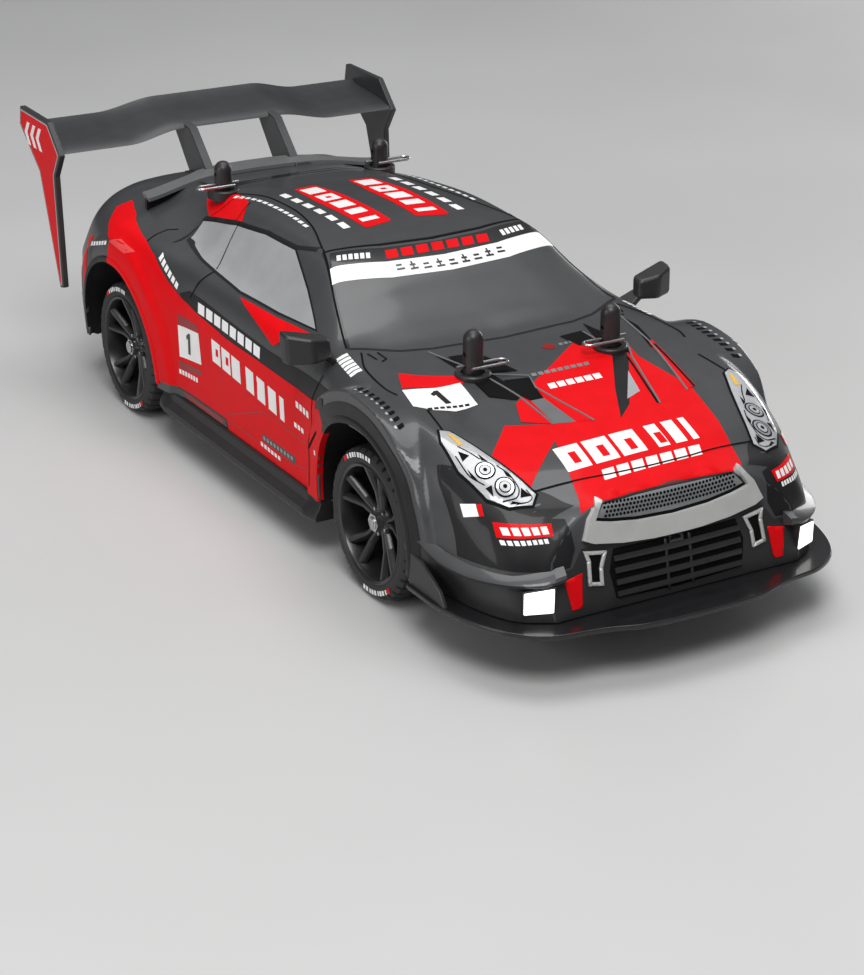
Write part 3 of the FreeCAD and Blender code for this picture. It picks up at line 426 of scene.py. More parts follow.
shell_verts, shell_faces = shell_mesh()
used = sorted({i for f in shell_faces for i in f})
renumber = {old: new for new, old in enumerate(used)}
shell_verts = [shell_verts[i] for i in used]
shell_faces = [[renumber[i] for i in f] for f in shell_faces]
shell = piece("car_shell", shell_verts, shell_faces, GREY, angle=50, replaces=("body_shell",),
              slot="shell_paint")
wall = shell.modifiers.new("wall", "SOLIDIFY")
wall.thickness = 1.1 * MM
wall.offset = -1

TREE = BVHTree.FromPolygons([Vector(v) for v in shell_verts], shell_faces)
shell_normals = [Vector(v.normal) for v in shell.data.vertices]


# ---------------------------------------------------------------- decals: thin pieces that lie on the skin
VIEWS = {
    "top": (lambda a, b: ((a, b, 200.0), (0, 0, -1))),
    "right": (lambda a, b: ((-200.0, a, b), (1, 0, 0))),
    "left": (lambda a, b: ((200.0, a, b), (-1, 0, 0))),
    "front": (lambda a, b: ((a, -400.0, b), (0, 1, 0))),
    "back": (lambda a, b: ((a, 400.0, b), (0, -1, 0))),
}


def skin_hit(view, a, b):
    """Where a straight look along the view meets the skin, with the smooth normal there."""
    origin, way = VIEWS[view](a, b)
    spot, _, index, _ = TREE.ray_cast(Vector(origin), Vector(way))
    if spot is None:
        return None
    if view == "right" and spot.x > -20 or view == "left" and spot.x < 20:
        return None
    if view == "front" and spot.y > -60 or view == "back" and spot.y < 60:
        return None
    corners = shell_faces[index]
    weights = [1 / max((spot - Vector(shell_verts[i])).length, 1e-4) ** 2 for i in corners]
    normal = sum((shell_normals[i] * w for i, w in zip(corners, weights)), Vector())
    normal.normalize()
    return spot, (normal if normal.dot(Vector(way)) < 0 else -normal)


def cut_sheet(outlines, cell):
    """Flat outlines cut along a grid, so that they can bend over the skin."""
    work = bmesh.new()
    for outline in outlines:
        ring = [work.verts.new((a, b, 0)) for a, b in outline]
        work.faces.new(ring)
    for axis in (0, 1):
        values = [v.co[axis] for v in work.verts]
        step = math.floor(min(values) / cell) + 1
        while step * cell < max(values):
            spot, normal = [0, 0, 0], [0, 0, 0]
            spot[axis], normal[axis] = step * cell, 1
            geometry = work.verts[:] + work.edges[:] + work.faces[:]
            bmesh.ops.bisect_plane(work, geom=geometry, plane_co=spot, plane_no=normal, dist=1e-5)
            step += 1
    bmesh.ops.triangulate(work, faces=[f for f in work.faces if len(f.verts) > 4])
    work.verts.index_update()
    flat = [(v.co.x, v.co.y) for v in work.verts]
    faces = [[v.index for v in f.verts] for f in work.faces]
    work.free()
    return flat, faces


def decal(name, view, outlines, mat, lift=0.08, cell=1.2, mirror=False, slot="shell_paint", replaces=(),
          thick=0.0,
          bevel=0.0):
    """Paint or trim over the skin, from outlines in the view's own plane (mm)."""
    flat, faces = cut_sheet(outlines, cell)
    sides = [(view, 1)]
    if mirror:
        sides.append(({"right": "left", "left": "right"}.get(view, view), -1))
    verts, normals, kept_faces = [], [], []
    for seen, sign in sides:
        place = {}
        for i, (a, b) in enumerate(flat):
            a_here = a if seen in ("right", "left") else sign * a
            hit = skin_hit(seen, a_here, b)
            if hit:
                place[i] = len(verts)
                verts.append(tuple(hit[0] + hit[1] * lift))
                normals.append(hit[1])
        kept_faces += [[place[i] for i in f] for f in faces if all(i in place for i in f)]
    obj = piece(name, verts, kept_faces, mat, angle=0, slot=slot, replaces=replaces, recalc=False)
    mesh = obj.data
    flips = [p.index for p in mesh.polygons if p.normal.dot(normals[p.vertices[0]]) < 0]
    if flips:
        work = bmesh.new()
        work.from_mesh(mesh)
        work.faces.ensure_lookup_table()
        bmesh.ops.reverse_faces(work, faces=[work.faces[i] for i in flips])
        work.to_mesh(mesh)
        work.free()
        mesh.shade_smooth()
    if thick:
        solid = obj.modifiers.new("thick", "SOLIDIFY")
        solid.thickness = thick * MM
        solid.offset = -1
        if bevel:
            bevel_edges(obj, bevel, 55)
        mesh.set_sharp_from_angle(angle=math.radians(40))
    else:
        mesh.normals_split_custom_set_from_vertices([tuple(n) for n in normals])
    return obj


def pair(name, view, outlines, mat, lift, **options):
    """The same decal on both sides of the car."""
    return decal(name, view, outlines, mat, lift=lift, mirror=True, **options)


def line(points, width):
    """A thin strip along a path in a view's plane, as one outline."""
    points = [Vector(p) for p in points]
    left, right = [], []
    for i, p in enumerate(points):
        before, after = points[max(i - 1, 0)], points[min(i + 1, len(points) - 1)]
        along = (after - before).normalized()
        side = Vector((-along.y, along.x)) * width / 2
        left.append(tuple(p + side))
        right.append(tuple(p - side))
    return left + right[::-1]


def curve(points, steps):
    """A smooth path through the points."""
    knots = np.arange(len(points))
    at = np.linspace(0, len(points) - 1, (len(points) - 1) * steps + 1)
    return [tuple(p) for p in hermite(knots, np.array(points, float), at)]


def rect(a, b, wide, high):
    """A rectangle from its low corner."""
    return [(a, b), (a + wide, b), (a + wide, b + high), (a, b + high)]


def letter_blocks(start, end, height, count, gap=0.28, slant=0.25, narrow=()):
    """A row of plain slanted blocks that stands where a word would be."""
    start, end = Vector(start), Vector(end)
    along = (end - start).normalized()
    up = Vector((-along.y, along.x))
    up = up if up.y > 0 else -up
    pitch = (end - start).length / count
    blocks = []
    for i in range(count):
        low = start + along * pitch * i
        width = pitch * (1 - gap) * (0.55 if i in narrow else 1)
        lean = along * slant * height
        corners = (low, low + along * width, low + along * width + up * height + lean,
                   low + up * height + lean)
        blocks.append([tuple(c) for c in corners])
    return blocks


# ---------------------------------------------------------------- wheels
WHEEL_X = 49.0
BLOCKS, PER_BLOCK = 38, 6
TYRE_PROFILE = [(-9.2, 17.4), (-9.9, 18.6), (-10.0, 20.0), (-9.6, 21.4), (-8.6, 22.4), (-6.6, 22.8),
                (-3.4, 22.95), (-3.1, 22.2), (-2.5, 22.2), (-2.2, 23.0), (2.2, 23.0), (2.5, 22.2),
                (3.1, 22.2), (3.4, 22.95), (6.6, 22.8), (8.6, 22.4), (9.6, 21.4), (10.0, 20.0), (9.75, 19.2),
                (9.9, 18.6), (9.2, 17.4)]
SHOULDER = {3: 0.5, 4: 0.9, 5: 0.9, 6: 0.7, 13: 0.7, 14: 0.9, 15: 0.9, 16: 0.5}
RIM_PROFILE = [
    (9.3, 17.5), (9.7, 18.1), (9.9, 17.7), (9.5, 17.0), (8.4, 16.6), (4.0, 16.2), (-9.2, 16.0), (-9.6, 18.0),
    (-9.0, 18.0), (-8.6, 16.9), (8.6, 17.2),
]
SPOKES = 5
SPOKE_TURN = math.radians(20)
MARK_INNER, MARK_OUTER, MARK_FACE = 19.75, 21.2, 10.06


def tread(i, s, radius):
    """Cross grooves between the shoulder blocks."""
    return radius - (SHOULDER.get(i, 0) if s % PER_BLOCK == 0 else 0)


def arc_strip(low, high, centre, side, segments):
    """A thin flat arc on a wheel's sidewall, between two angles in degrees."""
    verts = []
    for k in range(segments + 1):
        angle = math.radians(low + (high - low) * k / segments)
        for r in (MARK_INNER, MARK_OUTER):
            verts.append((side * (WHEEL_X + MARK_FACE), centre + r * math.cos(angle),
                          AXLE_Z + r * math.sin(angle)))
    return verts, [[2 * k, 2 * k + 1, 2 * k + 3, 2 * k + 2] for k in range(segments)]


def spoke_bar(build, start, end, wide, centre, side):
    """A tapered spoke with a ridge; start and end are (radius, angle, outer face, width)."""
    verts = []
    for radius, angle, face, width in (start, end):
        mid = (centre + radius * math.cos(angle), AXLE_Z + radius * math.sin(angle))
        across = (-math.sin(angle), math.cos(angle))
        outline = [(-width, face - wide), (-width * 0.8, face - 0.7), (-width * 0.35, face),
                   (width * 0.35, face), (width * 0.8, face - 0.7), (width, face - wide)]
        verts += [(side * (WHEEL_X + x), mid[0] + across[0] * w, mid[1] + across[1] * w) for w, x in outline]
    build.add(verts, sweep_faces(2, 6))


def wheel(end, side, centre):
    """One wheel: tyre, spoked rim, bolts, cap and sidewall marks."""
    hand = "left" if side > 0 else "right"
    where, body = f"{end}_{hand}", f"{end}_wheel_{hand}"
    spot = (side * WHEEL_X, centre, AXLE_Z)

    def outwards(profile):
        return [(side * x, r) for x, r in profile]

    rubber = Build().lathe(outwards(TYRE_PROFILE), spot, segments=BLOCKS * PER_BLOCK, radius_at=tread)
    rubber.make(f"tyre_{where}", TYRE, body=body, angle=32, replaces=(f"{end}_tyre_{hand}",), slot="tyre")
    rim = Build().lathe(outwards(RIM_PROFILE), spot, segments=96)
    rim.lathe(outwards([(0.2, 1.6), (0.2, 5.2), (3.6, 5.4), (5.4, 4.6), (5.9, 3.6), (5.9, 1.6)]), spot,
              segments=48)
    for k in range(SPOKES):
        base = 2 * math.pi * k / SPOKES + SPOKE_TURN
        for fan in (-1, 1):
            foot = (3.8, base + fan * 0.20, 5.7, 1.25)
            fork = (9.0, base + fan * 0.135, 6.6, 1.2)
            tip = (16.9, base + fan * 0.225, 8.9, 1.45)
            spoke_bar(rim, foot, fork, 1.7, centre, side)
            spoke_bar(rim, fork, tip, 1.8, centre, side)
    rim.make(f"rim_{where}", RIM_BLACK, body=body, angle=30, replaces=(f"{end}_rim_{hand}",),
             slot="black_trim")
    nuts = Build()
    for k in range(SPOKES):
        angle = 2 * math.pi * (k + 0.5) / SPOKES + SPOKE_TURN
        at = (side * WHEEL_X, centre + 3.9 * math.cos(angle), AXLE_Z + 3.9 * math.sin(angle))
        nuts.lathe(outwards([(5.2, 0.05), (5.2, 0.62), (6.3, 0.55), (6.4, 0.05)]), at, segments=12)
    nuts.make(f"wheel_bolts_{where}", STEEL, body=body, slot="steel")
    cap = outwards([(5.0, 0.02), (5.0, 2.5), (6.6, 2.5), (7.4, 2.1), (8.2, 1.9), (8.6, 1.2), (8.7, 0.02)])
    Build().lathe(cap, spot, segments=36, closed=False).make(f"wheel_cap_{where}", STEEL, body=body,
                                                             slot="steel")
    white, red = Build(), Build()
    for middle in (78, 258):
        for k in range(9):
            start = middle - 22 + 4.6 * k
            white.add(*arc_strip(start, start + (3.4 if k % 3 else 2.2), centre, side, 3))
        red.add(*arc_strip(middle - 28.2, middle - 23.2, centre, side, 4))
    white.make(f"sidewall_marks_{where}", WHITE, body=body, angle=0, slot="tyre")
    red.make(f"sidewall_red_{where}", RED, body=body, angle=0, slot="tyre")


for end, centre in (("front", FRONT_Y), ("rear", REAR_Y)):
    for side in (1, -1):
        wheel(end, side, centre)


# ---------------------------------------------------------------- wheel-arch liners
LINER_STEPS = 60
SILL_Z = 18.5


def arch_liner(name, centre):
    """A dark inner arch that joins the skin's edge and closes the view into the shell."""
    build = Build()
    for side in (1, -1):
        verts = []
        angles = [math.radians(-12 + 204 * k / LINER_STEPS) for k in range(LINER_STEPS + 1)]
        for angle in angles:
            hit = skin_hit("right", centre + ARCH_EDGE * math.cos(angle),
                           ARCH_Z + ARCH_EDGE * math.sin(angle))
            edge = min(60.5, abs(hit[0].x) - 0.8) if hit else 56.5
            for x, r in ((edge, ARCH_RADIUS - 0.1), (56, ARCH_RADIUS + 0.6), (38, ARCH_RADIUS + 1.6),
                         (34.5, 24)):
                y, z = centre + r * math.cos(angle), ARCH_Z + r * math.sin(angle)
                verts.append((side * x, y, max(z, SILL_Z)))
        corners = [4 * k + i for k in range(LINER_STEPS) for i in range(3)]
        faces = [[a, a + 1, a + 5, a + 4] for a in corners]
        build.add(verts, faces)
    return build.make(name, TRIM, angle=50, slot="black_trim")


arch_liner("front_arch_liners", FRONT_Y)
arch_liner("rear_arch_liners", REAR_Y)


# ---------------------------------------------------------------- rear wing
def wing():
    """The blade: one section carried across the car, lower and shorter between the stays."""
    chord = [(0, 0.0), (1.2, 1.1), (5, 2.3), (12, 3.4), (20, 4.1), (26, 5.0), (28.5, 6.2), (29, 6.0),
             (27, 4.1), (20, 3.0), (12, 2.2), (5, 1.0), (1.2, 0.1)]
    xs = np.linspace(-64.2, 64.2, 97)
    verts = []
    for x in xs:
        outer = smoothstep(19, 40, abs(x))
        base = 87.6 - 3.2 * outer
        front = 128.2 - 1.0 * outer
        stretch = 0.88 + 0.14 * outer
        verts += [(x, front + a * stretch, base + b * (1 - 0.15 * outer)) for a, b in chord]
    blade = Build().add(verts, sweep_faces(len(xs), len(chord)))
    blade.make("wing_blade", WING_BLACK, angle=38, replaces=("wing_plane",), slot="black_trim")


ENDPLATE = [(161.7, 94.2), (136.4, 93.9), (126.4, 84.1), (132.1, 75.5), (129.8, 35.8), (132.8, 35.0),
            (146.4, 74.0), (163.0, 87.4)]


def inset(outline, amount):
    """Moves every side of an outline inwards."""
    area = sum(a[0] * b[1] - b[0] * a[1] for a, b in zip(outline, outline[1:] + outline[:1]))
    sign = 1 if area > 0 else -1
    result = []
    for i, point in enumerate(outline):
        before, after = Vector(outline[i - 1]), Vector(outline[(i + 1) % len(outline)])
        here = Vector(point)
        one, two = (here - before).normalized(), (after - here).normalized()
        n1, n2 = Vector((-one.y, one.x)) * sign, Vector((-two.y, two.x)) * sign
        mid = (n1 + n2).normalized()
        result.append(tuple(here + mid * amount / max(mid.dot(n1), 0.35)))
    return result


def endplates():
    """The two plates at the wing's ends, each with a red panel, a pale outline and three chevrons."""
    plate = Build().prism(ENDPLATE, 64.3, 66.5).mirror()
    plate.make("endplates", WING_BLACK, bevel=0.4, angle=30, replaces=("wing_endplates",), slot="wing_red")
    for name, mat, gap, low, high in (
        ("endplate_outline", PALE, 1.0, 66.45, 66.62), ("endplate_panel", RED, 1.45, 66.5, 66.72),
    ):
        Build().prism(inset(ENDPLATE, gap), low, high).mirror().make(name, mat, bevel=0.08, slot="wing_red")
    marks = Build()
    for k in range(3):
        y = 142 + 5.2 * k
        marks.prism([(y, 82), (y + 2.4, 82), (y + 5.2, 86), (y + 2.4, 90), (y, 90), (y + 2.8, 86)], 66.6,
                    66.82)
    marks.mirror().make("endplate_chevrons", WHITE, bevel=0.05, slot="wing_red")


def stays():
    """The two slanted supports of the wing and the feet they stand on."""
    build = Build()
    build.prism([(107.5, 72.0), (124.5, 70.5), (142.0, 91.0), (124.6, 88.2)], 14.9, 18.2)
    build.prism([(104, 74.6), (126, 71.3), (127, 72.6), (105, 76.4)], 13.2, 19.9)
    build.mirror().make("wing_supports", WING_BLACK, bevel=0.45, replaces=("wing_stays",), slot="black_trim")


wing()
endplates()
stays()


# ---------------------------------------------------------------- nose: grille, lamps, canards and splitter
def both_halves(points):
    """A half outline on the car's left, closed with its mirror image."""
    return points + [(-x, z) for x, z in reversed(points) if abs(x) > 1e-6]


def nose():
    """Grilles, their band, slats and ducts on the bumper's face."""
    lower = both_halves([(0, 36), (22, 36.5), (30.5, 35.5), (34, 31), (44, 29.6), (44, 17), (0, 17)])
    decal("nose_lower_black", "front", [lower], TRIM, lift=0.06, slot="black_trim")
    band = [(0, 39.4), (12, 39.9), (20, 40.9), (25.6, 42.0), (22.4, 46.2), (23.6, 46.5), (27.4, 42.6),
            (29.9, 37.6), (27, 36.4), (18, 35.0), (8, 34.3), (0, 34.2)]
    decal("grille_band", "front", [both_halves(band)], SILVER, lift=1.7, thick=2.2, cell=1.0, bevel=0.35,
          slot="satin_silver", replaces=("grille_surround",))
    upper = both_halves([(0, 46.4), (12, 46.2), (22.2, 45.8), (25.6, 42.0), (20, 40.9), (12, 39.9),
                         (0, 39.4)])
    decal("upper_grille_gap", "front", [upper], SEAM_AND_SHADE, lift=0.14, slot="black_trim")
    upper = both_halves([(0, 46.3), (12, 46.1), (22.0, 45.6), (24.6, 42.7), (20, 41.8), (12, 40.8),
                         (0, 40.3)])
    decal("upper_grille_sheet", "front", [upper], MESH_SILVER, lift=0.22, slot="satin_silver")
    holes = []
    for row in range(4):
        for k in range(-18, 19):
            x = 1.2 * (k + 0.5 * (row % 2))
            z = 41.9 + 1.08 * row + 0.0016 * x * x
            if abs(x) < 22.0:
                holes.append([(x - 0.5, z), (x - 0.22, z - 0.38), (x + 0.22, z - 0.38), (x + 0.5, z),
                              (x + 0.22, z + 0.38), (x - 0.22, z + 0.38)])
    decal("upper_grille_holes", "front", holes, SEAM_AND_SHADE, lift=0.3, cell=3, slot="black_trim")
    back = both_halves([(0, 33.6), (20.6, 33.8), (22.6, 28), (21.2, 20.4), (0, 19.6)])
    decal("lower_grille_back", "front", [back], SEAM_AND_SHADE, lift=0.1, slot="black_trim", replaces=("grille_insert",))
    slats = []
    for z in (20.6, 23.8, 27.0, 30.2):
        slats.append(both_halves([(0, z + 1.6), (21, z + 1.7), (21, z + 0.3), (0, z + 0.1)]))
    decal("lower_grille_slats", "front", slats, TRIM, lift=1.0, thick=1.2, bevel=0.25, slot="black_trim")
    ribs = [rect(x - 0.35, 19.8, 0.7, 13.6) for x in (-4, 4)]
    decal("lower_grille_ribs", "front", ribs, TRIM, lift=0.8, thick=0.9, slot="black_trim")
    frame_outline = [(22.9, 33.8), (30.2, 34.9), (29.4, 32), (29.9, 25.6), (25.2, 24.8), (24.8, 29.5)]
    duct = inset(frame_outline, 1.0)
    strips = []
    for i in range(6):
        j = (i + 1) % 6
        strips.append([frame_outline[i], frame_outline[j], duct[j], duct[i]])
    pair("duct_frames", "front", strips, SILVER, 0.75, thick=0.7, slot="satin_silver")
    pair("duct_mouths", "front", [duct], SEAM_AND_SHADE, 0.12, slot="black_trim")
    pair("nose_red_blocks", "front", [[(31.2, 29.4), (37.0, 28.2), (35.6, 20.2), (32.4, 20.4)]], RED, 0.35,
         thick=0.4)


def lamp_blocks():
    """Bright lamp blocks near the splitter's corners, each a bevelled pane in a dark bezel."""
    build, bezel = Build(), Build()
    corners = [(41.2, -148.6, 28.0), (48.7, -145.0, 26.8), (48.7, -145.0, 20.4), (41.0, -148.2, 20.6)]
    centre = Vector([sum(c[k] for c in corners) / 4 for k in range(3)])
    back = Vector((-0.35, 0.93, 0.0))
    for grow, depth, front, target in ((1.0, 2.4, 0.95, build), (1.12, 2.2, 0.6, bezel)):
        ring = [centre + (Vector(c) - centre) * grow for c in corners]
        target.add([p - back * front for p in ring] + [p + back * depth for p in ring], sweep_faces(2, 4))
    build.mirror().make("nose_lamp_blocks", LED, bevel=0.35, replaces=("fog_lamps",), slot="lamp_led")
    bezel.mirror().make("nose_lamp_bezels", TRIM, bevel=0.3, slot="black_trim")


SPLITTER = [(0, -162.8), (10, -162.6), (20, -161.6), (28, -159.0), (34, -157.6), (42, -156.4), (49, -153.2),
            (54.5, -148.2), (59, -140), (62, -130), (63.6, -119), (63.6, -108), (58, -107)]


def splitter():
    """The flat plate under the nose."""
    outline = curve(SPLITTER, 6) + [(54, -128), (46, -140), (30, -143), (0, -143)]
    build = Build().prism(both_halves(outline), 16.2, 17.7, "z")
    build.make("splitter_plate", BLACK, bevel=0.45, angle=30, replaces=("front_splitter",), slot="black_trim")


def swept_lip(points, deep, high):
    """A wedge-shaped lip along a path on the skin: points are (x, y, z), the lip stands out by `deep`."""
    verts = []
    up = Vector((0, 0, high))
    for i, p in enumerate(points):
        p = Vector(p)
        before, after = Vector(points[max(i - 1, 0)]), Vector(points[min(i + 1, len(points) - 1)])
        along = (after - before).normalized()
        out = along.cross(Vector((0, 0, 1))).normalized()
        if out.dot(Vector((p.x, p.y + 60, 0))) < 0:
            out = -out
        share = math.sin(math.pi * min(1, 0.18 + 0.82 * i / (len(points) - 1)) * 0.92)
        reach = deep * (0.45 + 0.55 * share)
        verts += [p - out * 1.5 + up * 0.7, p + out * reach * 0.75 + up * 0.25, p + out * reach,
                  p + out * reach * 0.8 - up * 0.35, p - out * 1.5 - up * 0.6]
    return verts, sweep_faces(len(points), 5)


# ---------------------------------------------------------------- mirrors, skirts, tail and posts
def mirrors():
    """Wedge-shaped mirror housings on slim arms, each with a pane that faces the rear."""
    outer = [(54.2, -44.4, 63.4), (54.2, -48.6, 63.8), (54.6, -48.2, 69.6), (54.6, -43.6, 70.4)]
    inner = [(67.9, -41.2, 62.8), (67.9, -46.2, 63.0), (68.2, -45.6, 72.2), (68.2, -40.2, 73.0)]
    front = [(60.5, -50.2, 63.2), (61.5, -49.6, 71.2)]
    faces = [[0, 3, 2, 1], [4, 5, 6, 7], [0, 4, 7, 3], [0, 1, 8, 5, 4], [3, 7, 6, 9, 2], [1, 2, 9, 8],
             [8, 9, 6, 5]]
    housing = Build().add(outer + inner + front, faces).mirror()
    housing.make("mirror_housings", TRIM, bevel=1.3, angle=50, replaces=("wing_mirrors",), slot="shell_paint")
    arm = [(49.8, -41.0, 62.2), (49.8, -48.0, 60.6), (57.5, -47.2, 66.6), (57.5, -44.2, 67.2),
           (51.4, -40.4, 60.6), (51.4, -47.4, 59.2), (59.5, -46.8, 65.6), (59.5, -44.0, 66.0)]
    glass = [(59.2, -43.0, 66.8), (65.4, -41.8, 66.7), (65.5, -42.2, 69.6), (59.4, -43.4, 68.8),
             (59.2, -44.6, 66.8), (65.4, -43.4, 66.7), (65.5, -43.8, 69.6), (59.4, -45.0, 68.8)]
    for name, corners, mat, bevel in (("mirror_arms", arm, TRIM, 0.5), ("mirror_faces", glass, CHROME, 0.15)):
        Build().add(corners, sweep_faces(2, 4)).mirror().make(name, mat, bevel=bevel, slot="shell_paint")


def skirts():
    """Sill skirts between the wheels, drawn in at both ends."""
    profile = [(54, 12.2), (61.0, 12.2), (61.6, 13.0), (61.2, 14.6), (58.9, 16.4), (58.2, 18.8), (56.2, 19.1),
               (54, 18)]
    rear, front = 64.5, -47.5
    ys = np.linspace(rear, front, 41)
    verts = []
    for y in ys:
        ends = min(1, (rear - y) / 5, (y - front) / 5)
        verts += [(x - (1.2 if x > 60 else 0) * (1 - ends), y, z) for x, z in profile]
    build = Build().add(verts, sweep_faces(len(ys), len(profile))).mirror()
    build.make("sill_skirts", TRIM, bevel=0.3, replaces=("side_skirts",), slot="black_trim")


def tail():
    """The rear: diffuser, round lamps, panels and seams, plate and tail pipes."""
    rear = Build()
    rear.prism([(-46, 126), (46, 126), (46, 150), (40, 153), (-40, 153), (-46, 150)], 16.8, 18.2, "z")
    for x in (-36, -22, -8, 8, 22, 36):
        rear.prism([(124, 16.8), (152.5, 16.8), (154, 11.6), (128, 11.6)], x - 0.7, x + 0.7)
    rear.make("diffuser_fins", TRIM, bevel=0.3, replaces=("rear_diffuser",), slot="black_trim")
    rings, lenses = Build(), Build()
    r = 5.0
    ring = [(-4.5, r), (0.9, r), (1.2, r - 0.4), (1.2, r - 1.0), (0.6, r - 1.2), (-2.5, r - 1.2)]
    lens = [(-2, r - 1.1), (0.5, r - 1.1), (0.9, r - 2.2), (0.4, r - 2.4), (0.7, 1.0), (0.9, 0.02),
            (-2, 0.02)]
    for x, z in ((20.5, 52.5), (33.5, 51.5)):
        spot = (x, max(skin_hit("back", x, at)[0].y for at in (z, z - 0.8 * r)) - 0.2, z)
        rings.lathe(ring, spot, "y", 40)
        lenses.lathe(lens, spot, "y", 40)
    rings.mirror().make("tail_lamp_rings", TRIM, slot="black_trim")
    lenses.mirror().make("tail_lamp_lenses", TAIL_RED, replaces=("tail_lights",), slot="tail_red")
    panel = both_halves([(0, 59.4), (38, 58.4), (43.4, 52.6), (40, 45.4), (0, 44.4)])
    edge = line([(-43.8, 52.6), (-38.2, 58.8), (0, 59.8), (38.2, 58.8), (43.8, 52.6)], 0.5)
    seam = line([(-44, 41.6), (-20, 42.6), (20, 42.6), (44, 41.6)], 0.5)
    bumper = both_halves([(0, 27.4), (34, 26.8), (39, 22.4), (36, 19.4), (0, 19.2)])
    slots = [line([(side * 12, z), (side * 34, z)], 0.5) for side in (-1, 1) for z in (21.4, 23.4, 25.4)]
    for name, outlines, mat, lift, cell in (
        ("tail_panel", [panel], DARK, 0.12, 1.2), ("tail_panel_edge", [edge], MID_GREY_AND_HIGHLIGHT, 0.16, 2),
        ("tail_lid_seam", [seam], SEAM_AND_SHADE, 0.16, 2), ("tail_bumper_panel", [bumper], BLACK, 0.12, 1.2),
        ("tail_bumper_slots", slots, MESH_SILVER, 0.16, 3),
    ):
        decal(name, "back", outlines, mat, lift=lift, cell=cell)
    spots = [skin_hit("back", x, z) for x, z in ((0, 38.6), (0, 30.4), (12.6, 34.5), (12.6, 38.6),
                                                 (12.6, 30.4))]
    rearmost = max(hit[0].y for hit in spots)
    plate = Build().prism(rect(-13, 30, 26, 9), rearmost - 2.6, rearmost + 0.5, "y")
    plate.make("tail_plate", TRIM, bevel=0.4, slot="black_trim")
    inner = Build().prism(rect(-12, 31, 24, 7), rearmost + 0.3, rearmost + 0.7, "y")
    inner.make("tail_plate_face", PALE, bevel=0.1, slot="black_trim")
    pipes = Build()
    pipe = [(-3.0, 2.2), (1.6, 2.2), (1.8, 2.0), (1.8, 1.7), (1.6, 1.5), (-3.0, 1.5)]
    for x in (24.0, 29.5):
        pipes.lathe(pipe, (x, skin_hit("back", x, 23.2)[0].y, 23.2), "y", 28)
    pipes.mirror().make("tail_pipes", STEEL, slot="steel")


def ducktail():
    """A flat lip that runs round the boot lid, standing on a set-back web."""
    rear = curve([(0, 116.6), (12, 116.0), (20, 113.4), (27, 110.0), (36, 108.2), (45.2, 106.0)], 4)
    front = curve([(0, 106.4), (11, 105.8), (19, 104.6), (27.4, 102.6), (37, 100.2), (46.6, 97.4)], 4)
    # The lip's mid grey also carries a painted highlight on its top face; the web under it is painted dark as
    # painted shade beneath the lip.
    for name, mat, low, shrink in (("boot_lip", MID_GREY_AND_HIGHLIGHT, -1.2, 0.0), ("boot_lip_web", DARK, -9.0, 0.24)):
        verts = []
        for (x0, y0), (x1, y1) in zip(rear, front):
            top = 76.4 - 2.6 * float(smoothstep(20, 46, x0))
            y0, y1 = y0 + (y1 - y0) * shrink, y1 + (y0 - y1) * shrink
            hit = skin_hit("top", x0, (y0 + y1) / 2)
            foot = top + low
            if name == "boot_lip_web":
                top, foot = top - 1.0, min(top - 2.0, (hit[0].z if hit else 66) - 0.8)
            verts += [(x0, y0, top), (x1, y1, top), (x1, y1, foot), (x0, y0, foot)]
        Build().add(verts, sweep_faces(len(rear), 4, near=False)).mirror().make(
            name, mat, angle=40, slot="shell_paint")


LIP_SECTION = [(0.2, 31.6), (0.62, 30.8), (0.5, 29.5), (-1.6, 29.5), (-1.6, 31.6)]


def arch_lips():
    """Rolled edges round the wheel arches: (step out of the skin, radius) pairs carried round each arch."""
    for name, mat, centre, low, high in (
        ("front_arch_lips", DARK, FRONT_Y, 42, 189), ("front_arch_lips_red", RED, FRONT_Y, -9, 42),
        ("rear_arch_lips", DARK, REAR_Y, -9, 84), ("rear_arch_lips_red", RED, REAR_Y, 84, 187),
    ):
        verts = []
        for k in range(61):
            angle = math.radians(low + (high - low) * k / 60)
            c, d = math.cos(angle), math.sin(angle)
            hit = skin_hit("right", centre + ARCH_EDGE * c, ARCH_Z + ARCH_EDGE * d)
            if hit:
                verts += [(abs(hit[0].x) + out, centre + r * c, ARCH_Z + r * d) for out, r in LIP_SECTION]
        build = Build().add(verts, sweep_faces(len(verts) // 5, 5)).mirror()
        build.make(name, mat, angle=50, slot="shell_paint")


def springs():
    """Coils that stand between the chassis and the suspension arms."""
    high, turns, radius, steps = 43.8, 6.5, 3.4, 130
    for end, y, low in (("front", FRONT_Y, 24.3), ("rear", REAR_Y, 27.6)):
        for side in (1, -1):
            hand = "left" if side > 0 else "right"
            x = side * 26.0
            path = []
            for k in range(steps + 1):
                share = k / steps
                angle = 2 * math.pi * turns * share
                height = low + 0.6 + (high - low - 1.2) * share
                path.append((x + radius * math.cos(angle), y + radius * math.sin(angle), height))
            coil = Build().tube(path, 0.55, 8)
            obj = linked_mesh(f"coil_{end}_{hand}", coil.verts, coil.faces, STEEL)
            obj.data.shade_smooth()
            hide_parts(f"{end}_spring_{hand}")
            top, foot = (x * MM, y * MM, high * MM), (x * MM, y * MM, low * MM)
            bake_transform(obj)
            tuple(top)
            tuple(foot)


def post_details():
    """Collars where the body posts come through the skin."""
    build = Build()
    for x, y in ((23.8, FRONT_Y), (29.8, 73.8)):
        base = max(skin_hit("top", x + step, y)[0].z for step in (-5, 5))
        build.lathe([(-2.0, 3.6), (-2.0, 5.4), (0.6, 5.4), (1.0, 5.0), (1.0, 3.6)], (x, y, base), "z", 36)
    build.mirror().make("post_collars", TRIM, angle=40, slot="black_trim")


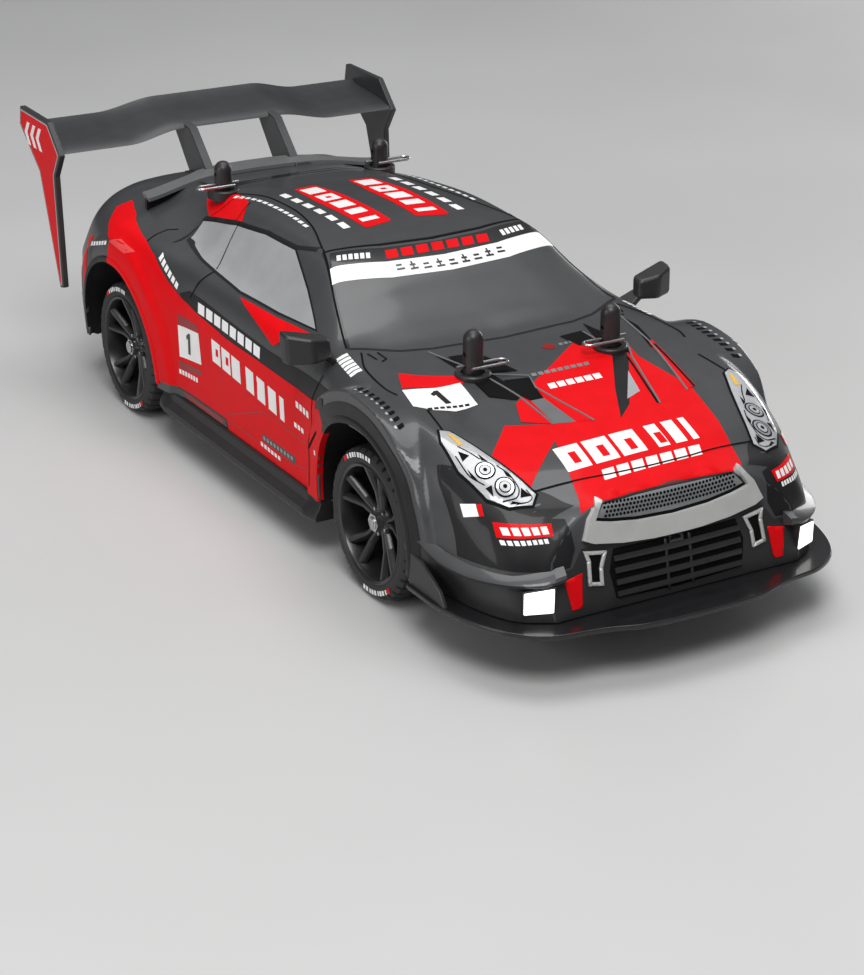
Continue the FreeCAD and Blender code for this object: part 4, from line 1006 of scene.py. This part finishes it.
# ---------------------------------------------------------------- livery and glazing
def arc_points(centre, radius, low, high, steps=24):
    """Points of a wheel-arch arc in the side view, in degrees from the rear horizontal."""
    angles = [math.radians(low + (high - low) * k / steps) for k in range(steps + 1)]
    return [(centre + radius * math.cos(a), ARCH_Z + radius * math.sin(a)) for a in angles]


SIDE_WINDOW = [(66.6, 68.0), (71.0, 71.7), (45.2, 77.1), (24.1, 79.6), (4.8, 79.7), (-12.9, 72.5),
               (-27.6, 65.4), (-5.6, 64.3), (19.5, 64.0), (37.5, 65.2), (49.9, 66.2)]
DIGIT_ONE = [(-1.0, -4.2), (1.0, -4.2), (1.0, 4.2), (-0.3, 4.2), (-2.3, 2.7), (-2.0, 1.2), (-1.0, 1.8)]


def digit(centre, size, flip=1):
    """The numeral one, scaled about a point."""
    return [(centre[0] + flip * a * size, centre[1] + b * size) for a, b in DIGIT_ONE]


def glazing():
    """Windows, windscreen with its banner, and rear window."""
    pair("side_window_surround", "right", [inset(SIDE_WINDOW, -0.45)], BLACK, 0.07, slot="window_glass")
    outline = line([(68.2, 67.0), (72.4, 72.2), (46.0, 77.7), (24.0, 80.2), (5.2, 80.4), (-4.4, 82.0)], 1.0)
    pair("side_window_outline", "right", [outline], BLACK, 0.15, slot="window_glass")
    pair("side_window_pane", "right", [inset(SIDE_WINDOW, 0.1)], SIDE_GLASS, 0.13, slot="window_glass",
         replaces=("side_windows",))
    pair("side_window_divider", "right", [line([(44.5, 78), (38.9, 65.6)], 0.5)], SEAM_AND_SHADE, 0.17,
         slot="window_glass")
    screen = both_halves([(0, -55.6), (24.5, -55.2), (33.5, -52.6), (46.6, -45.2), (35.2, -8.4), (18, -11.4),
                          (0, -12.4)])
    decal("windscreen_surround", "top", [inset(screen, -0.9)], BLACK, lift=0.07, slot="window_glass")
    decal("windscreen_pane", "top", [screen], GLASS, lift=0.13, slot="window_glass", replaces=("windscreen",))
    band = both_halves([(0, -14.3), (18, -13.3), (34.6, -10.0), (37.4, -15.8), (20, -18.9), (0, -19.9)])
    decal("windscreen_band", "top", [band], BLACK, lift=0.16, slot="window_glass")
    banner = both_halves([(0, -20.1), (20, -19.1), (37.6, -16.0), (39.6, -21.2), (21, -24.8), (0, -25.9)])
    decal("windscreen_banner", "top", [banner], WHITE, lift=0.19, slot="shell_paint")
    row = []
    for k in range(9):
        x = -18 + 4.5 * k
        y = -24.3 + 0.0045 * x * x
        row += [rect(x, y, 2.8, 0.7), rect(x + 0.4, y + 1.4, 2.0, 0.7)]
        if k % 2:
            row.append(rect(x + 1.1, y + 0.7, 0.6, 2.3))
    decal("banner_dashes", "top", row, BLACK, lift=0.24, cell=4)
    reds = letter_blocks((-19, -18.2), (19, -18.2), 3.4, 7, gap=0.25, slant=0.3)
    decal("band_red_blocks", "top", reds, RED, lift=0.22, cell=2)
    whites = letter_blocks((-34.5, -14.6), (-23.5, -16.8), 2.4, 6, gap=0.3)
    whites += letter_blocks((23.5, -16.8), (33, -14.9), 2.4, 5, gap=0.3)
    decal("band_white_blocks", "top", whites, WHITE, lift=0.22, cell=3)
    rear = both_halves([(0, 108), (24, 105.5), (26.5, 84), (0, 85.5)])
    decal("rear_window_surround", "top", [inset(rear, -1.0)], BLACK, lift=0.07, slot="window_glass")
    decal("rear_window_pane", "top", [rear], GLASS, lift=0.13, slot="window_glass", replaces=("rear_window",))


RED_TOP = [(117.0, 66.4), (114.5, 68.6), (99.9, 67.9), (77.8, 65.4), (69.0, 63.2), (58.5, 57.3), (49.6, 53.8),
           (38.3, 51.6), (18.1, 49.6), (-6.9, 49.3), (-25.1, 48.9), (-40.2, 48.8), (-49.0, 50.2),
           (-55.5, 51.0)]


def side_livery():
    """Red flank, belt, blocks, number and seams on both sides, with painted shade along the creases, round the
    front flare and at the skirt top, and a painted highlight on the rear flare.
    """
    red = arc_points(REAR_Y, 30.4, 185, 84) + [(99.5, 60.8), (108, 62.6)] + RED_TOP
    red += arc_points(FRONT_Y, 30.4, 44, -9, 12) + [(-40, 19.2), (17.5, 19.2), (19.0, 22.4), (53.9, 22.2)]
    pair("side_red", "right", [red], RED, 0.15, cell=1.0)
    # A lighter red patch on the rear flare's crest: a painted highlight.
    crest_highlight = [(99.6, 60.4), (96.0, 61.9), (92.1, 62.8), (81.0, 61.4), (86.4, 59.6)]
    pair("flare_crest_highlight", "right", [crest_highlight], RED_HIGHLIGHT, 0.2)
    belt = [(51.5, 55.2), (46, 57.4), (40, 57.0), (20, 55.4), (-9, 54.2), (-39, 54.6), (-57, 55.4),
            (-56.0, 51.2), (-49.0, 50.4), (-40.2, 49.0), (-25.1, 49.1), (-6.9, 49.5), (18.1, 49.8),
            (38.3, 51.8), (49.6, 54.0)]
    pair("side_belt", "right", [belt], DARK, 0.18)
    wedge = [(17.5, 63.0), (-7.0, 63.2), (-29.8, 64.2), (-16.0, 59.5), (-11.7, 56.2), (3.0, 60.0)]
    pair("side_red_wedge", "right", [wedge], RED, 0.12)
    big = letter_blocks((27.8, 39.4), (6.5, 37.9), 7.2, 3, gap=0.16, slant=-0.16)
    big += letter_blocks((3.6, 37.6), (-27, 34.9), 7.4, 4, gap=0.3, slant=-0.16, narrow=(3,))
    pair("door_white_blocks", "right", big, WHITE, 0.21)
    holes = [[(25.4, 41.8), (23.6, 41.7), (23.6, 44.2), (25.4, 44.3)],
             [(18.2, 41.2), (16.2, 41.1), (16.2, 43.8), (18.2, 43.9)],
             [(-2.4, 39.3), (-4.0, 39.2), (-4.0, 42.6), (-2.4, 42.7)]]
    pair("door_block_gaps", "right", holes, RED, 0.24)
    belt_blocks = letter_blocks((38.5, 52.2), (-6.2, 50.2), 3.3, 8, gap=0.22, slant=-0.3)
    pair("belt_white_blocks", "right", belt_blocks, WHITE, 0.24, cell=2)
    small = []
    for start, end, height, count, slant in (
        ((-30, 43.0), (-40, 42.4), 2.0, 4, -0.2), ((-28.8, 36.3), (-35.8, 36.0), 1.5, 3, -0.2),
        ((-5.7, 22.0), (-19.7, 21.4), 1.3, 6, -0.2), ((-46.2, 33.8), (-50.4, 33.4), 1.5, 3, -0.2),
        ((51.7, 27.6), (38.6, 28.2), 1.6, 7, 0), ((115.5, 54.4), (100.5, 58.9), 1.3, 6, 0),
        ((66.5, 62.9), (52.5, 55.6), 1.9, 6, -0.2),
    ):
        small += letter_blocks(start, end, height, count, slant=slant)
    pair("side_small_blocks", "right", small, WHITE, 0.23, cell=3)
    script = letter_blocks((50.4, -59.5), (48.6, -46.4), 3.6, 6, gap=0.24, slant=0)
    pair("fender_script", "top", script, WHITE, 0.14, cell=2)
    pair("side_dark_plate", "right", [[(-6.6, 26.2), (-29.2, 26.4), (-29.2, 24.0), (-6.8, 24.0)]], BLACK, 0.2)
    dashes = letter_blocks((-7.6, 24.6), (-28.4, 24.6), 1.2, 9, gap=0.4, slant=-0.2)
    pair("side_dark_plate_dashes", "right", dashes, MESH_SILVER, 0.24, cell=3)
    pair("number_plate", "right", [[(51.6, 44.5), (37.7, 45.6), (36.1, 35.3), (51.1, 33.7)]], WHITE, 0.20)
    pair("number_header", "right", [[(51.7, 48.4), (38.5, 48.0), (37.7, 45.8), (51.6, 44.7)]], DARK_RED, 0.20)
    pair("number_footer", "right", [[(51.9, 32.2), (36.2, 33.2), (36.0, 31.3), (51.6, 29.4)]], DARK_RED, 0.20)
    decal("number_right", "right", [digit((44.4, 39.9), 0.86, -1)], BLACK, lift=0.26, cell=3)
    decal("number_left", "left", [digit((44.4, 39.9), 0.86, 1)], BLACK, lift=0.26, cell=3)
    lines = [[(38.8, 65.0), (41.8, 60.9), (44.8, 55.4)],
             [(-44.5, 57.4), (-41.0, 49.4), (-42.3, 37.8), (-41.5, 22)]]
    pair("door_seams", "right", [line(p, 0.45) for p in lines], SEAM_AND_SHADE, 0.24, cell=2)
    slashes = [line([(-41.6, 34.0), (-44.6, 37.6), (-48.6, 42.0)], 0.9)]
    pair("fender_slashes", "right", slashes, SEAM_AND_SHADE, 0.22, cell=2)
    notches, chips = [], []
    for k in range(9):
        x, y = 57.6 - 0.5 * math.sin(k * 0.4), -70.0 - 2.9 * k
        notches.append([(x - 1.1, y), (x + 1.0, y - 0.9), (x + 1.0, y - 2.2), (x - 1.1, y - 1.4)])
        chips.append([(x + 1.2, y - 0.4), (x + 2.1, y - 0.9), (x + 2.0, y - 1.8), (x + 1.2, y - 1.6)])
    pair("fender_louvres", "top", notches, SEAM_AND_SHADE, 0.14, cell=2)
    pair("fender_chips", "top", chips, PALE, 0.14, cell=2)
    # Dark red lines along the side creases: painted shade.
    crease_shade = [line([(17.5, 24.4), (-8, 34.0), (-36, 33.4)], 0.3),
               line([(17.5, 22.6), (-20, 22.6), (-44, 26)], 0.3)]
    pair("side_crease_shade", "right", crease_shade, DARK_RED, 0.2, cell=3)
    # A black panel and a dark red patch along the skirt top: painted shade and a painted dark reflection
    # beneath the red flank.
    pair("skirt_shade_panel", "right", [[(54.6, 21.9), (19.4, 22.0), (18.4, 18.9), (54.0, 18.9)]], BLACK, 0.18)
    pair("skirt_shade_patch", "right", [[(50.4, 21.2), (22.0, 21.4), (21.0, 19.6), (48.0, 19.4)]], DARK_RED, 0.22)
    # A dark band round the front arch: painted shade on the flare's outer face.
    flare_shade = arc_points(FRONT_Y, 30.2, 190, 42, 48) + arc_points(FRONT_Y, 35.6, 48, 188, 48)
    pair("front_flare_shade", "right", [flare_shade], DARK, 0.19)
    strips = {
        "tail_strip_red": (RED, [[(118.8, 57), (124.4, 55), (125.6, 32), (122.4, 23), (119.6, 30)],
                                 [(134, 44), (138.6, 41), (138.6, 32), (134, 32)]]),
        "tail_strip_white": (WHITE, [[(127, 46), (132, 44.4), (132, 34), (127.6, 34)]]),
    }
    for name, (mat, shapes) in strips.items():
        pair(name, "right", shapes, mat, 0.12)


def roof_livery():
    """Red roof panels, blocks and seams."""
    box = [(-15.4, 3.0), (-14.4, 2.0), (-5.4, 4.2), (-4.5, 5.2), (-4.6, 36), (-6.2, 52.6), (-7.2, 53.6),
           (-13.4, 52.7), (-14.6, 51.4), (-16.3, 32)]
    pair("roof_red_panels", "top", [box], RED, 0.09)
    letters = []
    for low, high in ((42.5, 50.0), (32, 39.5), (22.5, 29.5), (14.5, 19.5), (7.0, 10.0)):
        letters.append([(-13.6, low), (-7.0, low + 0.8), (-7.0, high + 0.8), (-13.6, high)])
    pair("roof_white_blocks", "top", letters, WHITE, 0.13)
    pair("roof_block_gaps", "top", [[(-11.2, 35), (-9.2, 35.2), (-9.2, 37.2), (-11.2, 37)]], RED, 0.16)
    word = []
    for k in range(6):
        y = 4.0 + 7.9 * k
        word.append([(-22.0, y), (-19.4, y + 0.3), (-19.2, y + 5.6), (-21.8, y + 5.2)])
    pair("roof_side_blocks", "top", word, WHITE, 0.12, cell=2)
    rail = []
    for k in range(14):
        y = 12 + 3.9 * k
        x = -31.2 + 1.6 * math.sin(math.pi * (y - 12) / 60)
        rail.append(rect(x, y, 1.3, 2.7))
    pair("rail_white_blocks", "top", rail, WHITE, 0.13, cell=2)
    patch = [(30.0, 85.4), (27.9, 66.0), (31.2, 51.8), (38.0, 43.4), (37.4, 58.0), (36.8, 70.6), (33.9, 78.5)]
    pair("pillar_red", "top", [patch], RED, 0.12)
    cross = [line([(30.6, 63.9), (36.6, 69.5)], 0.4), line([(31.4, 50.3), (38.3, 47.6)], 0.4),
             line([(56.4, 78.0), (52.4, 79.2), (48.2, 79.4), (45.6, 76.4)], 0.5)]
    pair("pillar_seams_top", "top", cross, SEAM_AND_SHADE, 0.18, cell=2)
    seams = [curve([(-29, 71), (-26.4, 60), (-25.2, 48), (-25.8, 32), (-28.6, 14), (-34.6, -5.5)], 6)]
    seams.append([(-34.6, -6.0), (-41.2, -25), (-47.6, -44.6)])
    pair("roof_seams", "top", [line(p, 0.6) for p in seams], SEAM_AND_SHADE, 0.13, cell=2)
    decal("roof_front_seam", "top", [line(both_curve([(0, -12.6), (18, -11.6), (35.2, -8.2)]), 1.0)], SEAM_AND_SHADE,
          lift=0.2, cell=2)
    decal("roof_rear_band", "top", [both_halves([(0, 80.5), (26, 78.2), (27, 82.2), (0, 84)])], BLACK,
          lift=0.1)


def both_curve(points):
    """A path from the left end through the centre to the right end."""
    right = [(-x, y) for x, y in reversed(points) if abs(x) > 1e-6]
    return right + points


def hood_livery():
    """Red bonnet field, vents drawn in painted shade with painted highlights on their ridges, spikes, blocks,
    number and seams.
    """
    red = [(-41.0, -115.6), (-30.0, -104.4), (-16.7, -108.6), (-18.0, -93.6), (-9.0, -87.0), (0.5, -80.8),
           (22.5, -64.5), (25.5, -72.0), (34.0, -104), (31.2, -122), (29.0, -131), (27.2, -139),
           (22.6, -141.6), (0, -141.6), (-22.4, -141.2), (-28.6, -141.6), (-26.8, -137.4), (-20.4, -115.6),
           (-36.8, -129.2)]
    decal("hood_red", "top", [red], RED, lift=0.08)
    decal("nose_red_edge", "front", [both_halves([(0, 47.4), (22, 46.4), (24.2, 46.6), (24.2, 49), (0, 50)])],
          RED, lift=0.09)
    # The vents, the post recesses and the lines beside the ridges are painted shade; the grey at the lower
    # inner vent is painted light.
    fields = {
        "hood_spike": (DARK, [[(30.0, -75.7), (24.6, -86), (10.6, -107), (3.8, -112.6), (11.0, -99),
                               (22.6, -80)]]),
        "hood_pale_spike": (PALE, [[(20.8, -91.2), (17.6, -102.0), (11.5, -104.5)]]),
        "hood_mid_vent_shade": (SEAM_AND_SHADE, [[(-26.7, -58.2), (-22.7, -67.6), (-18.7, -77.5), (-16.2, -92.0),
                                   (-19.6, -94.4), (-26.4, -90.1), (-26.0, -73.1)],
                                  [(26.8, -58.0), (23.4, -70.4), (27.6, -84.0), (30.6, -76.0)]]),
        "hood_mid_reds": (RED, [[(-17.4, -93.4), (-16.6, -108.6), (-24.6, -104.6), (-21.0, -96.0)],
                                [(30.6, -76.4), (23.8, -108.2), (19.6, -109.2), (26.0, -85.4)]]),
        "hood_inner_vent_shade": (SEAM_AND_SHADE, [[(-21.5, -84.0), (-9.0, -84.6), (-10.8, -90.8), (-11.6, -96.0),
                                     (-16.0, -96.0)]]),
        "hood_inner_vent_light": (MID_GREY_AND_HIGHLIGHT, [[(-16.0, -96.0), (-11.6, -96.0), (-9.6, -110.0), (-16.2, -108.5)]]),
        "hood_inner_reds": (RED, [[(-10.8, -90.8), (-4.6, -110.8), (-9.8, -109.6)]]),
        "hood_outer_vent_shade": (SEAM_AND_SHADE, [[(41.0, -54.6), (38.6, -72), (36.6, -80), (37.8, -84), (41.6, -66)]]),
        "hood_outer_reds": (RED, [[(37.4, -78.4), (39.6, -76), (35.6, -104.4), (31.9, -105.6)]]),
        "hood_vent_shadows": (SEAM_AND_SHADE, [line([(-25.2, -74.0), (-25.4, -89.6), (-20.4, -93.6)], 0.9),
                                  line([(25.2, -84.4), (18.9, -109.2)], 0.7),
                                  line([(38.6, -79.0), (35.0, -104.6)], 0.8),
                                  line([(-17.4, -84.0), (-10.0, -85.2)], 1.0)]),
        "post_recess_shade": (SEAM_AND_SHADE, [[(-23.8, -63.0), (-14.5, -63.6), (-10.4, -80.0), (-22.6, -77.0)],
                                 [(23.8, -63.0), (14.8, -63.6), (16.0, -72.0), (22.6, -77.0)]]),
    }
    for k, (name, (mat, shapes)) in enumerate(fields.items()):
        decal(name, "top", shapes, mat, lift=0.11 + 0.01 * k)
    # The raised ridges are a lighter grey: a painted highlight along their edges.
    ridges = [[(-27.2, -57.4), (-23.4, -70.4), (-18.0, -92.7), (-16.6, -108.8)],
              [(-22.6, -77.4), (-9.0, -83.8), (-10.8, -90.4), (-4.3, -111.2)],
              [(41.4, -54.2), (38.2, -77.0), (31.6, -106.0)], [(31.0, -75.4), (26.4, -85.0), (19.4, -109.6)],
              [(23.0, -63.6), (23.2, -76.6), (31.0, -75.4)]]
    decal("hood_ridge_highlights", "top", [line(p, 0.6) for p in ridges], MID_GREY_AND_HIGHLIGHT, lift=0.35, thick=0.4, bevel=0.1,
          cell=2)
    decal("hood_red_patch", "top", [[(-42.5, -66.3), (-27.2, -76.4), (-29, -80.4), (-46.5, -75.7)]], RED,
          lift=0.09)
    plate = [(-47.1, -76.6), (-38, -78.6), (-29.6, -79.6), (-31.2, -92.0), (-39.1, -93.0), (-45, -90.8),
             (-49.4, -86.9)]
    decal("hood_number_plate", "top", [plate], WHITE, lift=0.12)
    decal("hood_number", "top", [digit((-38.6, -84.4), 0.95)], BLACK, lift=0.16, cell=3)
    decal("hood_plate_dashes", "top", letter_blocks((-46.5, -90.4), (-33, -91.6), 1.2, 7), BLACK, lift=0.16,
          cell=3)
    nose = letter_blocks((-24.4, -128.6), (4.0, -127.8), 9.6, 3, gap=0.14, slant=0.12)
    nose += letter_blocks((6.6, -127.7), (24.6, -127.2), 9.6, 3, gap=0.34, slant=0.12, narrow=(2,))
    decal("nose_white_blocks", "top", nose, WHITE, lift=0.12)
    gaps = []
    for x in (-20.8, -11.4, -2.0, 8.0):
        gaps.append([(x, -126.4), (x + 2.4, -126.4), (x + 2.8, -121.8), (x + 0.4, -121.8)])
    decal("nose_block_gaps", "top", gaps, RED, lift=0.16)
    under = letter_blocks((-16.2, -134.4), (18.6, -133.2), 3.7, 7, gap=0.2, slant=0.4)
    decal("nose_small_blocks", "top", under, WHITE, lift=0.12, cell=2)
    logo = letter_blocks((-7.0, -92.4), (11.8, -92.2), 2.7, 6, gap=0.2, slant=0.2)
    decal("hood_logo_blocks", "top", logo, WHITE, lift=0.12, cell=2)
    pale = letter_blocks((-8.2, -84.6), (12.4, -84.4), 1.7, 9, gap=0.25, slant=0.2)
    decal("hood_pale_blocks", "top", pale, MESH_SILVER, lift=0.13, cell=2)
    decal("hood_dot", "top", [disc(7.6, -68.7, 2.0, 20)], DARK_RED, lift=0.1, cell=4)
    decal("hood_dot_dashes", "top", letter_blocks((11, -69.6), (18.4, -69.4), 1.6, 4), MESH_SILVER, lift=0.1,
          cell=4)
    seams = [both_curve([(0, -133.2), (14, -132.7), (26, -131.6), (37, -130.6), (41.2, -127.6)])]
    sides = [curve([(-45.3, -49.3), (-49.6, -60.2), (-51.0, -73.5), (-50.0, -79.0)], 5),
             curve([(-46.7, -90.3), (-47.6, -96), (-48.4, -101.5)], 5), [(-44.0, -50.6), (-43.4, -55.4)],
             [(-40.8, -51.0), (-40.4, -55.8), (-42.6, -57.2)]]
    decal("nose_seam", "top", [line(p, 0.5) for p in seams], SEAM_AND_SHADE, lift=0.2, cell=2)
    pair("hood_side_seams", "top", [line(p, 0.6) for p in sides], SEAM_AND_SHADE, 0.14, cell=2)


HEADLIGHT = [(49.6, -101.8), (47.2, -103.0), (43.8, -111.0), (40.2, -121.0), (36.8, -131.6), (39.4, -134.0),
             (45.0, -131.4), (49.0, -126.4), (51.6, -116.0), (51.4, -106.0)]


def disc(x, y, radius, sides=28):
    """A round outline."""
    angles = np.linspace(0, 2 * math.pi, sides + 1)[:-1]
    return [(x + radius * math.cos(a), y + radius * math.sin(a)) for a in angles]


def headlights():
    """Lamp panes with rings, dark drawing and an amber light."""
    pair("headlight_surround", "top", [inset(HEADLIGHT, -0.7)], SEAM_AND_SHADE, 0.12, slot="lamp_lens")
    pair("headlight_pane", "top", [HEADLIGHT], LENS, 0.35, thick=0.5, bevel=0.15, slot="lamp_lens",
         replaces=("headlights",))
    lamps = ((45.6, -119.6, 2.9), (43.4, -126.4, 2.9))
    for k, (scale, mat) in enumerate(((1.0, SEAM_AND_SHADE), (0.84, CHROME), (0.6, SEAM_AND_SHADE), (0.5, LENS), (0.2, SEAM_AND_SHADE))):
        pair(f"headlight_ring_{k}", "top", [disc(x, y, r * scale) for x, y, r in lamps], mat, 0.42 + 0.05 * k,
             slot="lamp_lens", cell=2)
    art = [[(49.2, -111), (47.0, -113.5), (49.6, -114.4)], [(44.6, -113.8), (43.4, -117.4), (44.8, -116.4)],
           [(49.6, -116.8), (48.8, -121.4), (49.8, -119.6)], [(41.2, -121.6), (40.2, -125.2), (41.4, -123.8)],
           [(46.4, -124.4), (47.4, -127.2), (48.2, -124.2)], [(39.6, -128.4), (38.2, -131.6), (41.2, -130.8)],
           [(43.6, -130.6), (41.4, -132.4), (44.6, -131.0)]]
    pair("headlight_dark_art", "top", art, SEAM_AND_SHADE, 0.42, slot="lamp_lens", cell=3)
    strokes = []
    for points, width in (
        ([(48.4, -109.4), (46.2, -113.0), (45.0, -115.8)], 0.35),
        ([(50.4, -112), (50.2, -118), (48.0, -123.4)], 0.3),
        ([(42.0, -119.6), (40.4, -124.0), (40.2, -128.0), (42.4, -130.4), (46.0, -129.4)], 0.35),
        ([(38.6, -129.4), (38.2, -131.8), (39.8, -132.8), (43.0, -131.9)], 0.3),
    ):
        strokes.append(line(curve(points, 5), width))
    pair("headlight_strokes", "top", strokes, SEAM_AND_SHADE, 0.42, slot="lamp_lens", cell=3)
    pair("headlight_amber", "top", [[(48.6, -104.2), (47.6, -104.6), (46.4, -109.2), (47.8, -109.4)]], AMBER,
         0.45, slot="lamp_lens")


def bumper_details():
    """Dark cheeks, plates, lips and fences at the front corners."""
    word = {
        "bumper_red_plate": (RED, [[(50.0, 42.4), (37.0, 42.6), (37.6, 39.8), (50.4, 39.0)]], 0.17),
        "bumper_white_blocks": (WHITE, letter_blocks((38.4, 40.3), (49.6, 39.7), 1.7, 5, slant=0), 0.24),
        "bumper_dashes": (WHITE, letter_blocks((39.2, 38.2), (50.4, 37.4), 1.1, 8, slant=0), 0.2),
    }
    for name, (mat, shapes, lift) in word.items():
        pair(name, "front", shapes, mat, lift, cell=2)
    cheek = [(56.5, 46.4), (50, 46.0), (40.6, 45.2), (39.6, 43.8), (33.2, 43.4), (32.4, 36), (34.6, 31.4),
             (57, 31.4)]
    pair("bumper_dark_cheek", "front", [cheek], DARK, 0.05)
    flank = [(-110.6, 52.8), (-114, 48), (-120.1, 43.3), (-127, 38.6), (-131.6, 35.4), (-134, 33.4),
             (-139, 33.4), (-139, 45.8), (-128, 49.4), (-118, 53.2)]
    pair("bumper_dark_flank", "right", [flank], DARK, 0.06)
    pair("bumper_side_marks", "right", [[(-121.4, 45.2), (-125.0, 45.9), (-127.4, 43.2), (-123.8, 42.2)]],
         WHITE, 0.17)
    pair("bumper_side_reds", "right", [[(-125.2, 45.9), (-126.2, 46.0), (-128.4, 43.4), (-127.6, 43.2)]], RED,
         0.19)
    lower = arc_points(FRONT_Y, 30.4, 168, 190, 8) + [(-118, 17.6), (-134, 17.6), (-146, 17.6), (-147, 28.4),
                                                     (-131, 28.6), (-116, 30.6)]
    pair("bumper_lower_black", "right", [lower], TRIM, 0.1, slot="black_trim")
    corner = [(33.5, 31), (41, 29.4), (52, 29), (56, 28.4), (57, 17.2), (33.5, 17.2)]
    pair("bumper_front_black", "front", [corner], TRIM, 0.1, slot="black_trim")
    path = curve([(59.6, -110.5, 31.8), (58.2, -121, 29.2), (55.2, -131.5, 28.6), (49.6, -140.6, 28.8),
                  (42.6, -146.2, 29.4), (37.4, -147.8, 30.4)], 6)
    verts, faces = swept_lip(path, 3.2, 3.2)
    Build().add(verts, faces).mirror().make("canard_lips", GREY, angle=30, slot="shell_paint")
    fence = [(-107.5, 17.5), (-119, 17.5), (-127, 17.6), (-124, 21.5), (-114, 26.5), (-107.5, 27.5)]
    fences = Build().prism(fence, 61.2, 62.6).mirror()
    fences.make("splitter_fences", TRIM, bevel=0.35, slot="black_trim")
    # A dark line along the bumper's crease: painted shade.
    crease_shade_line = [line(curve([(-110.2, 52.6), (-114, 48), (-120.1, 43.3), (-127, 38.6), (-131.6, 35.4)], 5),
                   0.55)]
    pair("bumper_crease_shade", "right", crease_shade_line, DARK, 0.12, cell=2)


for build_group in (
    glazing, side_livery, roof_livery, hood_livery, headlights, bumper_details, nose, lamp_blocks, splitter,
    mirrors,
    skirts, tail, ducktail, springs, post_details, arch_lips,
):
    build_group()


# ---------------------------------------------------------------- camera, light and floor
LENS_LENGTH = 89.81
CAMERA_PLACE = (-0.367704, -0.638525, 0.307744)
CAMERA_RIGHT = (0.86289, -0.50536, 0.00495)
CAMERA_UP = (0.19431, 0.34079, 0.91984)
CAMERA_AHEAD = (0.46654, 0.79276, -0.39226)
LIGHT_TARGET = (0, 0, 0.04)


def camera():
    """The fixed view, from ahead of the car's right side."""
    data = bpy.data.cameras.new("camera")
    data.lens = LENS_LENGTH
    data.clip_start = 0.01
    obj = bpy.data.objects.new("camera", data)
    turn = Matrix((Vector(CAMERA_RIGHT), Vector(CAMERA_UP), -Vector(CAMERA_AHEAD))).transposed().to_4x4()
    obj.matrix_world = Matrix.Translation(Vector(CAMERA_PLACE)) @ turn
    bpy.context.scene.collection.objects.link(obj)
    bpy.context.scene.camera = obj


def area_light(name, location, size, power):
    data = bpy.data.lights.new(name, "AREA")
    data.shape = "RECTANGLE"
    data.size, data.size_y = size
    data.energy = power
    obj = bpy.data.objects.new(name, data)
    obj.location = location
    obj.rotation_euler = (Vector(LIGHT_TARGET) - Vector(location)).to_track_quat("-Z", "Y").to_euler()
    bpy.context.scene.collection.objects.link(obj)


def studio():
    """Camera, lamps, sky and floor."""
    camera()
    area_light("key", (-0.35, -0.6, 1.0), (0.5, 0.5), 9)
    area_light("fill", (-1.0, -0.1, 0.35), (0.4, 0.4), 2.8)
    area_light("top", (0.1, 0.15, 1.2), (0.9, 0.6), 7)
    area_light("rim", (1.0, 0.5, 0.25), (0.3, 0.5), 2.5)
    world = bpy.data.worlds.new("studio")
    world.use_nodes = True
    nodes, links = world.node_tree.nodes, world.node_tree.links
    way = nodes.new("ShaderNodeTexCoord")
    split = nodes.new("ShaderNodeSeparateXYZ")
    links.new(way.outputs["Generated"], split.inputs["Vector"])
    ramp = nodes.new("ShaderNodeValToRGB")
    ramp.color_ramp.elements[0].position, ramp.color_ramp.elements[1].position = 0.25, 0.9
    ramp.color_ramp.elements[0].color = (0.08, 0.08, 0.085, 1)
    ramp.color_ramp.elements[1].color = (0.8, 0.81, 0.83, 1)
    links.new(split.outputs["Z"], ramp.inputs["Fac"])
    links.new(ramp.outputs["Color"], nodes["Background"].inputs["Color"])
    nodes["Background"].inputs["Strength"].default_value = 0.55
    bpy.context.scene.world = world
    bpy.context.scene.view_settings.view_transform = "Standard"
    half = 3000
    corners = [(-half, -half, 0), (half, -half, 0), (half, half, 0), (-half, half, 0)]
    pale = material("floor_pale", (0.5, 0.5, 0.495), 0.45, vary=0.02, scale=6)
    floor = linked_mesh("floor", corners, [(0, 1, 2, 3)], pale)


studio()
NODE_FINISH = {
    "chassis_screws": STEEL, "hinge_pins": STEEL, "servo_horn": NYLON, "drive_spool": NYLON,
    "motor_pinion": STEEL,
    "drive_motor": CAN, "battery_pack": BATTERY, "power_switch": SWITCH, "body_posts": TRIM,
    "steering_servo": TRIM,
    "receiver_unit": TRIM,
}
STEEL_PARTS = ("body_clip", "front_axle", "half_shaft")


def finish_node(name, mat):
    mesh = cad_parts[name].data
    mesh.materials.clear()
    mesh.materials.append(mat)


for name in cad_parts:
    finish_node(name, NODE_FINISH.get(name, STEEL if name.startswith(STEEL_PARTS) else CHASSIS))
